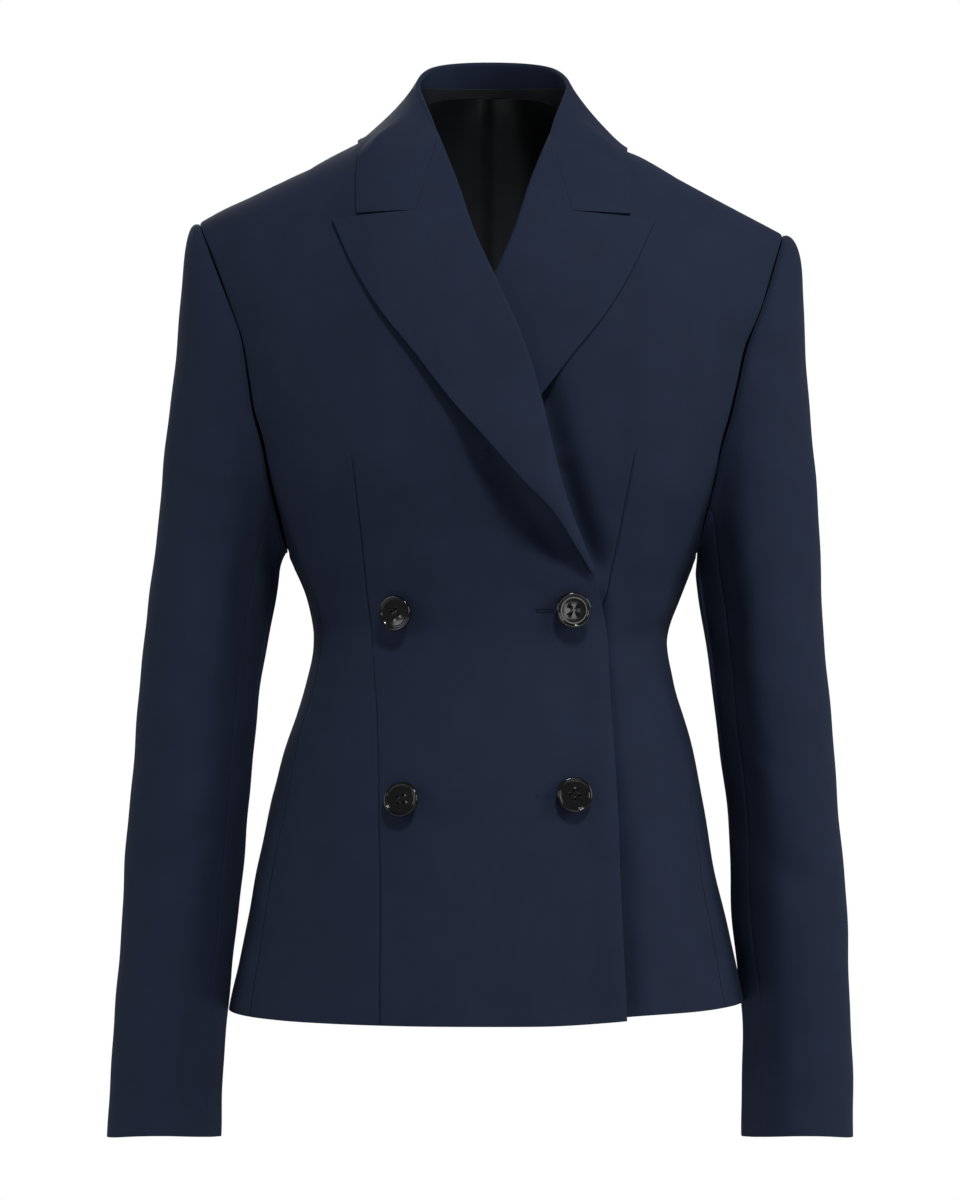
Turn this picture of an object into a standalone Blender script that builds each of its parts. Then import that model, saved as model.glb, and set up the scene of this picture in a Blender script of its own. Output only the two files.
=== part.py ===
"""Women's double-breasted blazer, standing as if worn: a hollow shell of cut and sewn wool pieces.

Metres, +Z up, the front towards -Y, the wearer's left at +X. The origin lies midway between the two
points where the shoulder lines meet the neck. Wearer's right front laps over the left one.
"""

import bpy
import bmesh
import numpy as np
from mathutils import Matrix, Vector

# ---------------------------------------------------------------- driving sizes
CLOTH = 0.002  # wall of a sewn piece: wool, interfacing and lining taken together
SEAM_GAP = 0.0004  # slit between neighbouring pieces
LAYER = 0.0029  # from the middle of one piece to the middle of the piece lying on it
UNDER = 0.0018  # the left front sinks this far below the torso surface where the right front covers it
OVER_WAIST = 0.0014  # the right front rises this far where it covers the left front
OVER_CHEST = 0.0046  # and this far where it also covers the left lapel

HEM = -0.5985
CHEST = -0.170  # above this height the torso rolls over to the shoulder line
ROLL_POWER = 2.2
SLOPE_FROM = -0.290  # above this height the levels begin to slope with the shoulders
SLOPE_TO = -0.030
NECK_HALF = 0.068  # centre to where the shoulder line meets the neck
SHOULDER_DROP = {-1: 0.067, 1: 0.075}  # shoulder point below the neck point, wearer's right and left
SHOULDER_RUN = 0.131
BACK_NECK_RISE = 0.058
MIDDLE = 0.00225  # lapels and collar are mirrored about this plane

# Torso rings: height, half width to the wearer's right and left, depth to the front and the back, squareness
TORSO = (
    (-0.5985, 0.1765, 0.1715, 0.134, 0.122, 2.20),
    (-0.552, 0.1670, 0.1615, 0.131, 0.119, 2.20),
    (-0.511, 0.1590, 0.1530, 0.127, 0.114, 2.22),
    (-0.457, 0.1470, 0.1440, 0.121, 0.104, 2.25),
    (-0.416, 0.1360, 0.1350, 0.114, 0.092, 2.28),
    (-0.375, 0.1240, 0.1240, 0.107, 0.077, 2.30),
    (-0.350, 0.1195, 0.1200, 0.105, 0.072, 2.30),
    (-0.321, 0.1240, 0.1280, 0.107, 0.073, 2.32),
    (-0.289, 0.1375, 0.1400, 0.112, 0.079, 2.35),
    (-0.240, 0.1536, 0.1560, 0.123, 0.092, 2.40),
    (-0.208, 0.1610, 0.1635, 0.1255, 0.102, 2.40),
    (-0.179, 0.1690, 0.1715, 0.1245, 0.108, 2.40),
    (-0.145, 0.1740, 0.1780, 0.1235, 0.112, 2.40),
    (-0.104, 0.1804, 0.1860, 0.1225, 0.1135, 2.40),
    (-0.0685, 0.1910, 0.1965, 0.1220, 0.1135, 2.40),
    (-0.025, 0.2060, 0.2095, 0.1220, 0.1135, 2.40),
    (0.000, 0.2155, 0.2175, 0.1220, 0.1135, 2.40),
)

# Armhole, a rounded loop seen from the side
ARMHOLE_MIDDLE = -0.1445
ARMHOLE_HALF_HEIGHT = 0.1445
ARMHOLE_FRONT = 0.058
ARMHOLE_BACK = 0.054
ARMHOLE_POWER = 2.2

# Seams round the torso: angle from centre front at the hem, and the armhole angle where each one ends
FRONT_SEAM = (64.5, 128.0)
BACK_SEAM = (128.0, 236.0)

# Front edge of the right front below the lapel: height, x
FRONT_EDGE = (
    (-0.5985, 0.0875),
    (-0.529, 0.0835),
    (-0.451, 0.0806),
    (-0.380, 0.0763),
    (-0.334, 0.0743),
    (-0.304, 0.0676),
)
# Front edge of the left front, hidden under the right one
UNDERLAP_EDGE = (
    (-0.5985, -0.074),
    (-0.451, -0.072),
    (-0.334, -0.069),
    (-0.304, -0.0631),
)
# Waist dart: height, distance from the middle plane. It is sewn from the hem up to the bust.
DART = (
    (-0.5985, 0.0715),
    (-0.471, 0.0722),
    (-0.387, 0.0750),
    (-0.295, 0.0822),
    (-0.227, 0.0892),
    (-0.120, 0.1060),
    (-0.031, 0.1250),
)
DART_TOP_ROW = 14

# Lapel: roll line x and height, outer edge x and height, lift off the chest (right, left)
LAPEL = (
    (-0.0350, -0.012, -0.1050, -0.069, 0.0000, 0.0),
    (-0.0226, -0.045, -0.0890, -0.104, 0.0010, 0.0),
    (-0.0114, -0.080, -0.0705, -0.134, 0.0020, 0.0),
    (0.0043, -0.115, -0.0485, -0.163, 0.0035, 0.0),
    (0.0190, -0.150, -0.0260, -0.190, 0.0055, 0.0),
    (0.0300, -0.185, -0.0018, -0.216, 0.0080, 0.0),
    (0.0388, -0.220, 0.0213, -0.241, 0.0085, 0.0),
    (0.0480, -0.255, 0.0400, -0.264, 0.0060, 0.0),
    (0.0620, -0.293, 0.0590, -0.295, 0.0020, 0.0),
)
GORGE_CORNER = (-0.0480, -0.062)  # where the lapel's top edge leaves the collar
GORGE_SHARE = 3 / 7

# Collar, from the gorge round to centre back: share of the way, fold line x, y, z, outer edge x, y or z
COLLAR_FRONT = (
    (0.00, -0.0350, None, -0.0120, -0.0880, -0.0645),
    (0.45, -0.0400, -0.0330, 0.0030, -0.0880, -0.0420),
    (0.75, -0.0452, -0.0150, 0.0170, -0.0872, -0.0220),
)
COLLAR_BACK = (
    (0.00, -0.0490, 0.0040, 0.0290, -0.0868, 0.0000),
    (0.25, -0.0462, 0.0220, 0.0385, -0.0790, 0.0290),
    (0.50, -0.0385, 0.0400, 0.0455, -0.0600, 0.0540),
    (0.75, -0.0230, 0.0530, 0.0495, -0.0340, 0.0700),
    (1.00, 0.0000, 0.0590, 0.0510, 0.0000, 0.0770),
)

COLLAR_STAND = 3  # spaces up the stand
COLLAR_FALL = 5  # and across the fall
COLLAR_CORNER = 0.6  # share of the bottom edge where it turns from the gorge to the free edge
COLLAR_CLEARANCE = 0.0012
GORGE_GAP = 0.0014
BACK_NECK_DEPTH = 0.066

# Back lining: level of its foot, half its reach round the torso in degrees, depth under the back
LINING_FOOT = 0.62
LINING_REACH = 46
LINING_DEPTH = 0.0052
PLEAT_DEPTH = 0.003

# Sleeve rings: height, outer and inner distance from x=0 (right sleeve, then left), front and back
SLEEVE = (
    (-0.305, 0.2295, 0.1430, 0.2240, 0.1405, -0.0600, 0.0610),
    (-0.389, 0.2390, 0.1570, 0.2300, 0.1510, -0.0600, 0.0560),
    (-0.457, 0.2450, 0.1640, 0.2360, 0.1600, -0.0585, 0.0500),
    (-0.525, 0.2490, 0.1710, 0.2410, 0.1665, -0.0560, 0.0440),
    (-0.593, 0.2540, 0.1805, 0.2440, 0.1755, -0.0535, 0.0385),
    (-0.684, 0.2590, 0.1850, 0.2450, 0.1765, -0.0510, 0.0320),
)
SLEEVE_POWER = 2.15
SLEEVE_CAP_FROM = 0.55  # share of the way up where the sleeve cap begins
SLEEVE_SEAMS = (140.0, 260.0)  # the under sleeve lies between these angles, the top sleeve is the rest
ARMHOLE_GAP = 0.0023
SHOULDER_GAP = 0.0005
ROLL_GAP = 0.0015
PANEL_ROWS = 22
FRONT_COLUMNS = (4, 6)  # side seam to dart, dart to front edge
SIDE_COLUMNS = 4
BACK_COLUMNS = (4, 3)
LAPEL_GRID = (15, 7)
LINING_GRID = (14, 14)
SLEEVE_ROWS = 16
TOP_SLEEVE_COLUMNS = 12
UNDER_SLEEVE_COLUMNS = 5
COLLAR_SECTIONS = 23

BUTTON_STAND = 0.0028  # from the cloth's middle plane to the foot of the shank, and so clear of it
SHANK = 0.0021
HOLE_FROM_CENTRE = 0.0028
HOLE_RADIUS = 0.0010
# Buttons: x, height, tilt about the upright axis, tilt about the level axis (degrees)
BUTTONS = {
    "button_right_waist": (-0.0618, -0.3295, -12.0, 4.0),
    "button_left_waist": (0.0540, -0.3282, 3.0, 0.0),
    "button_right_skirt": (-0.0576, -0.4506, -3.0, 0.0),
    "button_left_skirt": (0.0537, -0.4485, 2.0, 0.0),
}
BUTTONHOLE = (0.0330, 0.0580, 0.0008)  # from x, to x, width of the slit

WOOL = (0.0137, 0.0185, 0.0343, 1.0)
SATIN = (0.0056, 0.0064, 0.0078, 1.0)
HORN = (0.0050, 0.0050, 0.0056, 1.0)


# ---------------------------------------------------------------- curves and the torso surface
def through(table, column, key=0):
    """A smooth curve through one column of a table, read at any key."""
    rows = sorted(table, key=lambda row: row[key])
    keys = np.array([row[key] for row in rows])
    values = np.array([row[column] for row in rows])
    slopes = np.gradient(values, keys)

    def read(at):
        at = np.clip(np.asarray(at, float), keys[0], keys[-1])
        i = np.clip(np.searchsorted(keys, at) - 1, 0, len(keys) - 2)
        width = keys[i + 1] - keys[i]
        t = (at - keys[i]) / width
        return (
            values[i] * (1 + 2 * t) * (1 - t) ** 2
            + slopes[i] * width * t * (1 - t) ** 2
            + values[i + 1] * t * t * (3 - 2 * t)
            + slopes[i + 1] * width * t * t * (t - 1)
        )

    return read


def smooth(value, low, high):
    """0 at low, 1 at high, eased at both ends."""
    t = np.clip((np.asarray(value, float) - low) / (high - low), 0, 1)
    return t * t * (3 - 2 * t)


HALF_RIGHT, HALF_LEFT, DEPTH_FRONT, DEPTH_BACK, SQUARENESS = (
    through(TORSO, column) for column in range(1, 6)
)


def height_and_roll(level):
    """Level 0 is the hem, 1 the chest, 2 the shoulder line."""
    level = np.asarray(level, float)
    turn = np.radians(90 * np.clip(level - 1, 0, 1))
    below = HEM + np.clip(level, 0, 1) * (CHEST - HEM)
    above = CHEST * (1 - np.sin(turn) ** (2 / ROLL_POWER))
    return np.where(level < 1, below, above), np.cos(turn) ** (2 / ROLL_POWER)


def shoulder_lift(x, back):
    """How far the shoulder slope, and the rise to the back neck, move the shoulder line at x."""
    out = np.abs(x) - NECK_HALF
    drop = np.where(np.asarray(x) < 0, SHOULDER_DROP[-1], SHOULDER_DROP[1]) / SHOULDER_RUN
    slope = -drop * (out + np.sqrt(out * out + 0.012**2)) / 2
    rise = BACK_NECK_RISE * np.clip(1 - (x / NECK_HALF) ** 2, 0, 1)
    return slope + np.where(back, rise, 0)


def torso(angle, level):
    """The point of the torso surface at this angle (degrees, 0 centre front, + to the wearer's left)."""
    angle, level = np.broadcast_arrays(np.asarray(angle, float), np.asarray(level, float))
    height, roll = height_and_roll(level)
    power = 2 / SQUARENESS(height)
    side, ahead = np.sin(np.radians(angle)), np.cos(np.radians(angle))
    half = np.where(side < 0, HALF_RIGHT(height), HALF_LEFT(height))
    depth = np.where(ahead > 0, -DEPTH_FRONT(height), DEPTH_BACK(height)) * roll
    x = half * np.sign(side) * np.abs(side) ** power
    y = depth * np.abs(ahead) ** power
    sheared = smooth(height, SLOPE_FROM, SLOPE_TO)
    return np.stack([x, y, height + sheared * shoulder_lift(x, ahead < 0)], -1)


def torso_normal(angle, level):
    level = np.clip(level, 0.004, 1.985)
    round_it = torso(angle + 0.4, level) - torso(angle - 0.4, level)
    up_it = torso(angle, level + 0.004) - torso(angle, level - 0.004)
    across = np.cross(round_it, up_it)
    return across / np.linalg.norm(across, axis=-1, keepdims=True)


def off_torso(angle, level, distance):
    return torso(angle, level) + torso_normal(angle, level) * np.asarray(distance)[..., None]


def angle_at(x, level, back=False):
    """The angle where the ring at this level passes x."""
    height, _ = height_and_roll(level)
    half = np.where(np.asarray(x) < 0, HALF_RIGHT(height), HALF_LEFT(height))
    share = np.clip(np.abs(x) / half, 0, 1) ** (SQUARENESS(height) / 2)
    angle = np.degrees(np.arcsin(share))
    return np.where(np.asarray(x) < 0, -1, 1) * np.where(back, 180 - angle, angle)


def on_torso(x, target, axis, back=False):
    """(angle, level) of the torso point with this x whose height (axis 2) or depth (axis 1) is target."""
    low, high = 0.0, 2.0
    if axis == 1:
        low = 1.0
    for _ in range(40):
        level = (low + high) / 2
        found = torso(angle_at(x, level, back), level)[axis]
        if (abs(found) > abs(target)) if axis == 1 else (found < target):
            low = level
        else:
            high = level
    return float(angle_at(x, level, back)), level


def armhole(side, turn):
    """(angle, level) on the armhole: turn 0 is the shoulder point, 90 the front, 180 the underarm, 270 the back."""
    turn = turn % 360
    if turn < 3 or turn > 357:
        angle, _ = armhole(side, 3 if turn < 3 else 357)
        return angle, 2.0
    power = 2 / ARMHOLE_POWER
    along, across = np.cos(np.radians(turn)), np.sin(np.radians(turn))
    height = ARMHOLE_MIDDLE + ARMHOLE_HALF_HEIGHT * np.sign(along) * abs(along) ** power
    height = min(height, -1e-6)
    if height < CHEST:
        level = (height - HEM) / (CHEST - HEM)
    else:
        level = 1 + np.degrees(np.arcsin((1 - height / CHEST) ** (ROLL_POWER / 2))) / 90
    _, roll = height_and_roll(level)
    front = across >= 0
    reach = (ARMHOLE_FRONT if front else ARMHOLE_BACK) * abs(across) ** power
    depth = float((DEPTH_FRONT if front else DEPTH_BACK)(height) * max(roll, 1e-6))
    angle = np.degrees(np.arccos(min(reach / depth, 1) ** (float(SQUARENESS(height)) / 2)))
    return side * (angle if front else 180 - angle), level


def between(first, second, share):
    return tuple(a + (b - a) * share for a, b in zip(first, second))


def seam(side, which, share):
    """(angle, level) along a long seam from the hem (0) to the armhole (1)."""
    return between((side * which[0], 0.0), armhole(side, which[1]), share)


# ---------------------------------------------------------------- making pieces
def collection_named(name, hidden=False):
    made = bpy.data.collections.new(name)
    bpy.context.scene.collection.children.link(made)
    made.hide_render = hidden
    return made


def material(name, colour, roughness, sheen=0.0):
    made = bpy.data.materials.new(name)
    made.use_nodes = True
    shader = made.node_tree.nodes["Principled BSDF"]
    shader.inputs["Base Color"].default_value = colour
    shader.inputs["Roughness"].default_value = roughness
    shader.inputs["Metallic"].default_value = 0.0
    shader.inputs["Sheen Weight"].default_value = sheen
    return made


for old in list(bpy.data.objects):
    bpy.data.objects.remove(old)
BLAZER = collection_named("double_breasted_blazer")
CUTTERS = collection_named("cutters", hidden=True)
WOOL_CLOTH = material("navy_wool", WOOL, 0.75, 0.3)
SATIN_CLOTH = material("black_satin", SATIN, 0.35)
HORN_BUTTON = material("black_horn", HORN, 0.12)


def pull_in(points, gaps):
    """Draws the four edges of a grid of points inwards: first row, last row, first column, last column."""
    points = points.copy()

    def draw(edge, inner, gap):
        step = inner - edge
        length = np.linalg.norm(step, axis=-1, keepdims=True)
        return edge + step / np.maximum(length, 1e-9) * gap

    points[0], points[-1] = draw(points[0], points[1], gaps[0]), draw(points[-1], points[-2], gaps[1])
    first = draw(points[:, 0], points[:, 1], gaps[2])
    last = draw(points[:, -1], points[:, -2], gaps[3])
    points[:, 0], points[:, -1] = first, last
    return points


def piece(name, points, colour_of, side=-1, slit=None, gaps=(SEAM_GAP / 2,) * 4):
    """A cloth piece: a wall of even thickness about a grid of points whose rows run upwards.

    slit is (column, top row) of a seam sewn inside the piece, as a dart is.
    """
    points = pull_in(np.asarray(points, float), gaps)
    rows, columns = points.shape[:2]
    mesh = bpy.data.meshes.new(name)
    form = bmesh.new()
    starts = [[form.verts.new(points[i, j]) for j in range(columns)] for i in range(rows)]
    ends = [list(row) for row in starts]
    if slit:
        column, top = slit
        for i in range(top):
            here = starts[i][column].co.copy()
            after = (starts[i][column + 1].co - here).normalized() * SEAM_GAP / 2
            before = (starts[i][column - 1].co - here).normalized() * SEAM_GAP / 2
            starts[i][column].co = here + after
            ends[i][column] = form.verts.new(here + before)
    for i in range(rows - 1):
        for j in range(columns - 1):
            corners = (starts[i][j], ends[i][j + 1], ends[i + 1][j + 1], starts[i + 1][j])
            form.faces.new(corners if side < 0 else corners[::-1])
    form.to_mesh(mesh)
    form.free()
    body = bpy.data.objects.new(name, mesh)
    BLAZER.objects.link(body)
    mesh.materials.append(colour_of)
    wall = body.modifiers.new("Wall", "SOLIDIFY")
    wall.thickness = CLOTH
    wall.offset = 0.0
    wall.use_even_offset = True
    wall.use_quality_normals = True
    return body


def grid_between(curves, counts, rows, point_of):
    """A grid running up the rows, with counts[k] spaces between curve k and curve k+1."""
    grid = []
    for i in range(rows + 1):
        stops = [curve(i / rows) for curve in curves]
        line = [stops[0]]
        for first, second, count in zip(stops, stops[1:], counts):
            line += [between(first, second, (k + 1) / count) for k in range(count)]
        grid.append(line)
    grid = np.array(grid)
    return point_of(grid[..., 0], grid[..., 1])


# ---------------------------------------------------------------- fronts
def over_front(angle, level):
    """The right front, raised where it laps over the left front and its lapel."""
    at = torso(angle, level)
    rise = OVER_WAIST + (OVER_CHEST - OVER_WAIST) * smooth(at[..., 2], -0.345, -0.285)
    low = 1 - smooth(at[..., 2], -0.095, -0.030)
    return off_torso(angle, level, rise * low * smooth(at[..., 0], -0.108, -0.066))


def under_front(angle, level):
    at = torso(angle, level)
    return off_torso(angle, level, -UNDER * smooth(-at[..., 0], -0.104, -0.084))


def edge_curve(table, side):
    """The free edge of a front, up the edge table to the break, up the roll line, along the neckline."""
    edge = through(table, 1)
    roll = through(LAPEL, 0, key=1)
    gorge = on_torso(lapel_x(LAPEL[0][0], side), LAPEL[0][1], 2)
    neck = (float(angle_at(side * NECK_HALF, 2.0)), 2.0)

    def read(share):
        if share < 0.46:
            height = HEM + share / 0.46 * (table[-1][0] - HEM)
            return on_torso(float(edge(height)), height, 2)
        if share < 0.90:
            height = table[-1][0] + (share - 0.46) / 0.44 * (LAPEL[0][1] - table[-1][0])
            low = max(float(height), LAPEL[-1][1])
            x = lapel_x(float(roll(low)), side)
            if height < LAPEL[-1][1]:
                x += (table[-1][1] - x) * (low - height) / (low - table[-1][0])
            return on_torso(x, height, 2)
        return between(gorge, neck, (share - 0.90) / 0.10)

    return read


def outer_curve(side):
    """The side edge of a front, up the front seam and round the armhole to the shoulder point."""

    def read(share):
        if share < 0.50:
            return seam(side, FRONT_SEAM, share / 0.50)
        return armhole(side, FRONT_SEAM[1] * (1 - (share - 0.50) / 0.50))

    return read


def dart_curve(side):
    distance = through(DART, 1)

    def read(share):
        height = DART[0][0] + share * (DART[-1][0] - DART[0][0])
        x = side * float(distance(height))
        if share > 0.999:
            return float(angle_at(x, 2.0)), 2.0
        return on_torso(x, height, 2)

    return read


def lapel_x(x, side):
    """Lapel and collar tables hold the wearer's right side; the left one is its mirror image."""
    return x if side < 0 else 2 * MIDDLE - x


def make_front(name, side, table, surface):
    curves = (outer_curve(side), dart_curve(side), edge_curve(table, side))
    grid = grid_between(curves, FRONT_COLUMNS, PANEL_ROWS, surface)
    gaps = (0.0, SHOULDER_GAP, SEAM_GAP / 2, ROLL_GAP)
    return piece(name, grid, WOOL_CLOTH, side, slit=(FRONT_COLUMNS[0], DART_TOP_ROW), gaps=gaps)


# ---------------------------------------------------------------- lapels and collar
def roll_over(root, first, second):
    """Three columns that turn a piece over its roll line: in line with the front, round, and on top."""
    away = first - second
    away /= np.linalg.norm(away, axis=-1, keepdims=True)
    middle = (root + first) / 2 + away * LAYER / 2
    return np.stack([root, middle, first], 1)


def make_lapel(name, side, surface):
    """The facing turned out over the front: from the roll line to the outer edge."""
    rows, columns = LAPEL_GRID
    keys = [i / (len(LAPEL) - 1) for i in range(len(LAPEL))]
    table = [(key, *row) for key, row in zip(keys, LAPEL)]
    read = [through(table, column) for column in range(1, 7)]
    middle_x = LAPEL[0][0] + GORGE_SHARE * (LAPEL[0][2] - LAPEL[0][0])
    middle_z = LAPEL[0][1] + GORGE_SHARE * (LAPEL[0][3] - LAPEL[0][1])
    bend = (GORGE_CORNER[0] - middle_x, GORGE_CORNER[1] - middle_z)
    grid, seam_line = [], []
    for i in range(rows + 1):
        share = i / rows
        roll_x, roll_z, edge_x, edge_z, lift_right, lift_left = (float(f(share)) for f in read)
        lift = lift_right if side < 0 else lift_left
        line = []
        for j in range(columns + 1):
            across = j / columns
            hat = min(across / GORGE_SHARE, (1 - across) / (1 - GORGE_SHARE)) * (1 - share) ** 3
            x = roll_x + (edge_x - roll_x) * across + bend[0] * hat
            z = roll_z + (edge_z - roll_z) * across + bend[1] * hat
            angle, level = on_torso(lapel_x(x, side), z, 2)
            base = surface(np.array(angle), np.array(level))
            normal = torso_normal(np.array(angle), np.array(level))
            line.append(base + normal * (LAYER + lift * np.sin(np.pi * (0.12 + 0.70 * across))))
            if j == 0:
                seam_line.append(base)
        grid.append(line)
    grid, seam_line = np.array(grid), np.array(seam_line)
    turned = roll_over(seam_line, grid[:, 0], grid[:, 1])
    grid = np.concatenate([turned, grid[:, 1:]], 1)
    return piece(name, grid[:, ::-1], WOOL_CLOTH, -side, gaps=(2 * SEAM_GAP, 0.0, 0.0, SEAM_GAP))


def clear_of(surface, point, front):
    """The point, moved out along the normal if it is less than a layer above the piece under it."""
    x, y, z = point
    ridge = torso(float(angle_at(x, 2.0, not front)), 2.0)[2]
    if front:
        if z > ridge - 0.001:
            return point
        at = on_torso(x, z, 2)
    else:
        if y < 0.002:
            return point
        at = on_torso(x, y, 1, True)
    at = tuple(map(np.array, at))
    normal = torso_normal(*at)
    base = surface(*at) if front else torso(*at)
    short = LAYER + COLLAR_CLEARANCE - float(np.dot(point - base, normal))
    return point + normal * min(max(short, 0.0), 3 * LAYER)


def collar_path(seam_at, edge_at, corner):
    """The line the fall lies over, (angle, level) rows; at the gorge it turns the corner there."""
    line = []
    for k in range(COLLAR_FALL + 1):
        share = k / COLLAR_FALL
        if corner is None:
            line.append(between(seam_at, edge_at, share))
        elif share <= COLLAR_CORNER:
            line.append(between(seam_at, corner, share / COLLAR_CORNER))
        else:
            line.append(between(corner, edge_at, (share - COLLAR_CORNER) / (1 - COLLAR_CORNER)))
    return np.array(line)


def collar_section(side, seam_at, fold, edge_at, corner=None):
    """One section of the collar: up the stand, over the fold and down the fall to the outer edge."""
    path = collar_path(seam_at, edge_at, corner)
    surface = over_front if side < 0 else under_front
    front = abs(edge_at[0]) < 90
    root = surface(*path[0]) if front else torso(*path[0])
    below = surface(path[:, 0], path[:, 1]) if front else torso(path[:, 0], path[:, 1])
    below = below + torso_normal(path[:, 0], path[:, 1]) * LAYER
    if fold is None:
        along = below[1] - below[0]
        top_in, top_out = root, below[0]
        top = (root + below[0]) / 2 - along / np.linalg.norm(along) * LAYER / 2
    else:
        out = (below[-1] - below[0]) * np.array([1, 1, 0])
        out /= np.linalg.norm(out)
        top = np.array(fold)
        down = np.array([0, 0, LAYER / 2])
        top_in = top - out * LAYER / 2 - down
        top_out = top + out * LAYER / 2 - down
    share = np.linspace(0, 1, COLLAR_FALL + 1)[:, None]
    fall = below + (top_out - below[0]) * (1 - share) ** 1.5
    fall[1:] = [clear_of(surface, point, front) for point in fall[1:]]
    stand = [root + (top_in - root) * k / COLLAR_STAND for k in range(COLLAR_STAND + 1)]
    return np.array([*stand, top, *fall])


def collar_half(side):
    """The sections of one half of the collar, from the gorge round to centre back."""
    gorge = on_torso(lapel_x(LAPEL[0][0], side), LAPEL[0][1], 2)
    neck = (float(angle_at(side * NECK_HALF, 2.0)), 2.0)
    sections = []
    for share, fold_x, fold_y, fold_z, edge_x, edge_z in COLLAR_FRONT:
        fold = None if fold_y is None else (lapel_x(fold_x, side), fold_y, fold_z)
        edge_at = on_torso(lapel_x(edge_x, side), edge_z, 2)
        seam_at = between(gorge, neck, share)
        corner = None if share else on_torso(lapel_x(GORGE_CORNER[0], side), GORGE_CORNER[1], 2)
        sections.append(collar_section(side, seam_at, fold, edge_at, corner))
    back_neck = (180.0 * side, on_torso(0.0001 * side, BACK_NECK_DEPTH, 1, True)[1])
    neck = (float(angle_at(side * NECK_HALF, 2.0, True)), 2.0)
    for share, fold_x, fold_y, fold_z, edge_x, edge_y in COLLAR_BACK:
        angle = neck[0] + (back_neck[0] - neck[0]) * share
        level = neck[1] + (back_neck[1] - neck[1]) * np.sin(np.radians(90 * share))
        shift = 0 if side < 0 else 2 * MIDDLE * share
        x = lapel_x(edge_x, side) - shift
        if share == 0:
            edge_at = (float(angle_at(x, 2.0, True)), 2.0)
        elif share == 1:
            edge_at = (180.0 * side, on_torso(0.0001 * side, edge_y, 1, True)[1])
        else:
            edge_at = on_torso(x, edge_y, 1, True)
        fold = (lapel_x(fold_x, side) - shift, fold_y, fold_z)
        sections.append(collar_section(side, (angle, level), fold, edge_at))
    return sections


def finer(sections, count):
    """More sections, on a smooth curve through the given ones."""
    sections = np.array(sections)
    keys = np.arange(len(sections))
    at = np.linspace(0, len(sections) - 1, count)
    out = np.empty((count, *sections.shape[1:]))
    for j in range(sections.shape[1]):
        for axis in range(3):
            out[:, j, axis] = through(list(zip(keys, sections[:, j, axis])), 1)(at)
    return out


def make_collar():
    right, left = collar_half(-1), collar_half(1)
    middle = (right[-1] + left[-1]) / 2
    middle[:, 0] = 0.0
    sections = finer(right[:-1] + [middle] + left[-2::-1], COLLAR_SECTIONS)
    first = COLLAR_STAND + 3
    for section in sections:
        for k in range(first, first + COLLAR_FALL - 1):
            surface = over_front if section[k][0] < 0 else under_front
            section[k] = clear_of(surface, section[k], section[k][1] < 0)
    return piece("collar", sections, WOOL_CLOTH, 1, gaps=(GORGE_GAP, GORGE_GAP, 3.5 * SEAM_GAP, 0.0))


# ---------------------------------------------------------------- sides, back and lining
def make_side(name, side):
    rows, columns = PANEL_ROWS // 2, SIDE_COLUMNS
    grid = []
    for i in range(rows + 1):
        line = []
        for j in range(columns + 1):
            turn = FRONT_SEAM[1] + (BACK_SEAM[1] - FRONT_SEAM[1]) * j / columns
            foot = side * (FRONT_SEAM[0] + (BACK_SEAM[0] - FRONT_SEAM[0]) * j / columns), 0.0
            line.append(between(foot, armhole(side, turn), i / rows))
        grid.append(line)
    grid = np.array(grid)
    points = torso(grid[..., 0], grid[..., 1])
    return piece(name, points[:, ::-1], WOOL_CLOTH, side, gaps=(0.0,) + (SEAM_GAP / 2,) * 3)


def back_outer(side):
    def read(share):
        if share < 0.50:
            return seam(side, BACK_SEAM, share / 0.50)
        return armhole(side, BACK_SEAM[1] + (359.9 - BACK_SEAM[1]) * (share - 0.50) / 0.50)

    return read


def back_inner(side):
    top = on_torso(0.0001 * side, BACK_NECK_DEPTH, 1, True)[1]

    def read(share):
        return 180.0 * side, top * share

    return read


def make_back(name, side):
    """Half of the back, its top row running from the shoulder point by the neck point to centre back."""
    rows = PANEL_ROWS
    outer_count, inner_count = BACK_COLUMNS
    outer, inner = back_outer(side), back_inner(side)
    neck = (float(angle_at(side * NECK_HALF, 2.0, True)), 2.0)
    grid = []
    for i in range(rows + 1):
        share = i / rows
        a, c = outer(share), inner(share)
        pull = float(smooth(share, 0.45, 1.0))
        half_way = (a[0] + c[0]) / 2
        middle = (half_way + (neck[0] - half_way) * pull, a[1] + (c[1] - a[1]) * 0.5 * (1 - pull))
        line = [between(a, middle, k / outer_count) for k in range(outer_count + 1)]
        for k in range(1, inner_count + 1):
            angle = middle[0] + (c[0] - middle[0]) * k / inner_count
            bow = np.sin(np.radians(90 * k / inner_count)) * pull + k / inner_count * (1 - pull)
            line.append((angle, middle[1] + (c[1] - middle[1]) * bow))
        grid.append(line)
    grid = np.array(grid)
    points = torso(grid[..., 0], grid[..., 1])
    gaps = (0.0, SHOULDER_GAP, SEAM_GAP, SEAM_GAP / 2)
    return piece(name, points[:, ::-1], WOOL_CLOTH, side, gaps=gaps)


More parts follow.
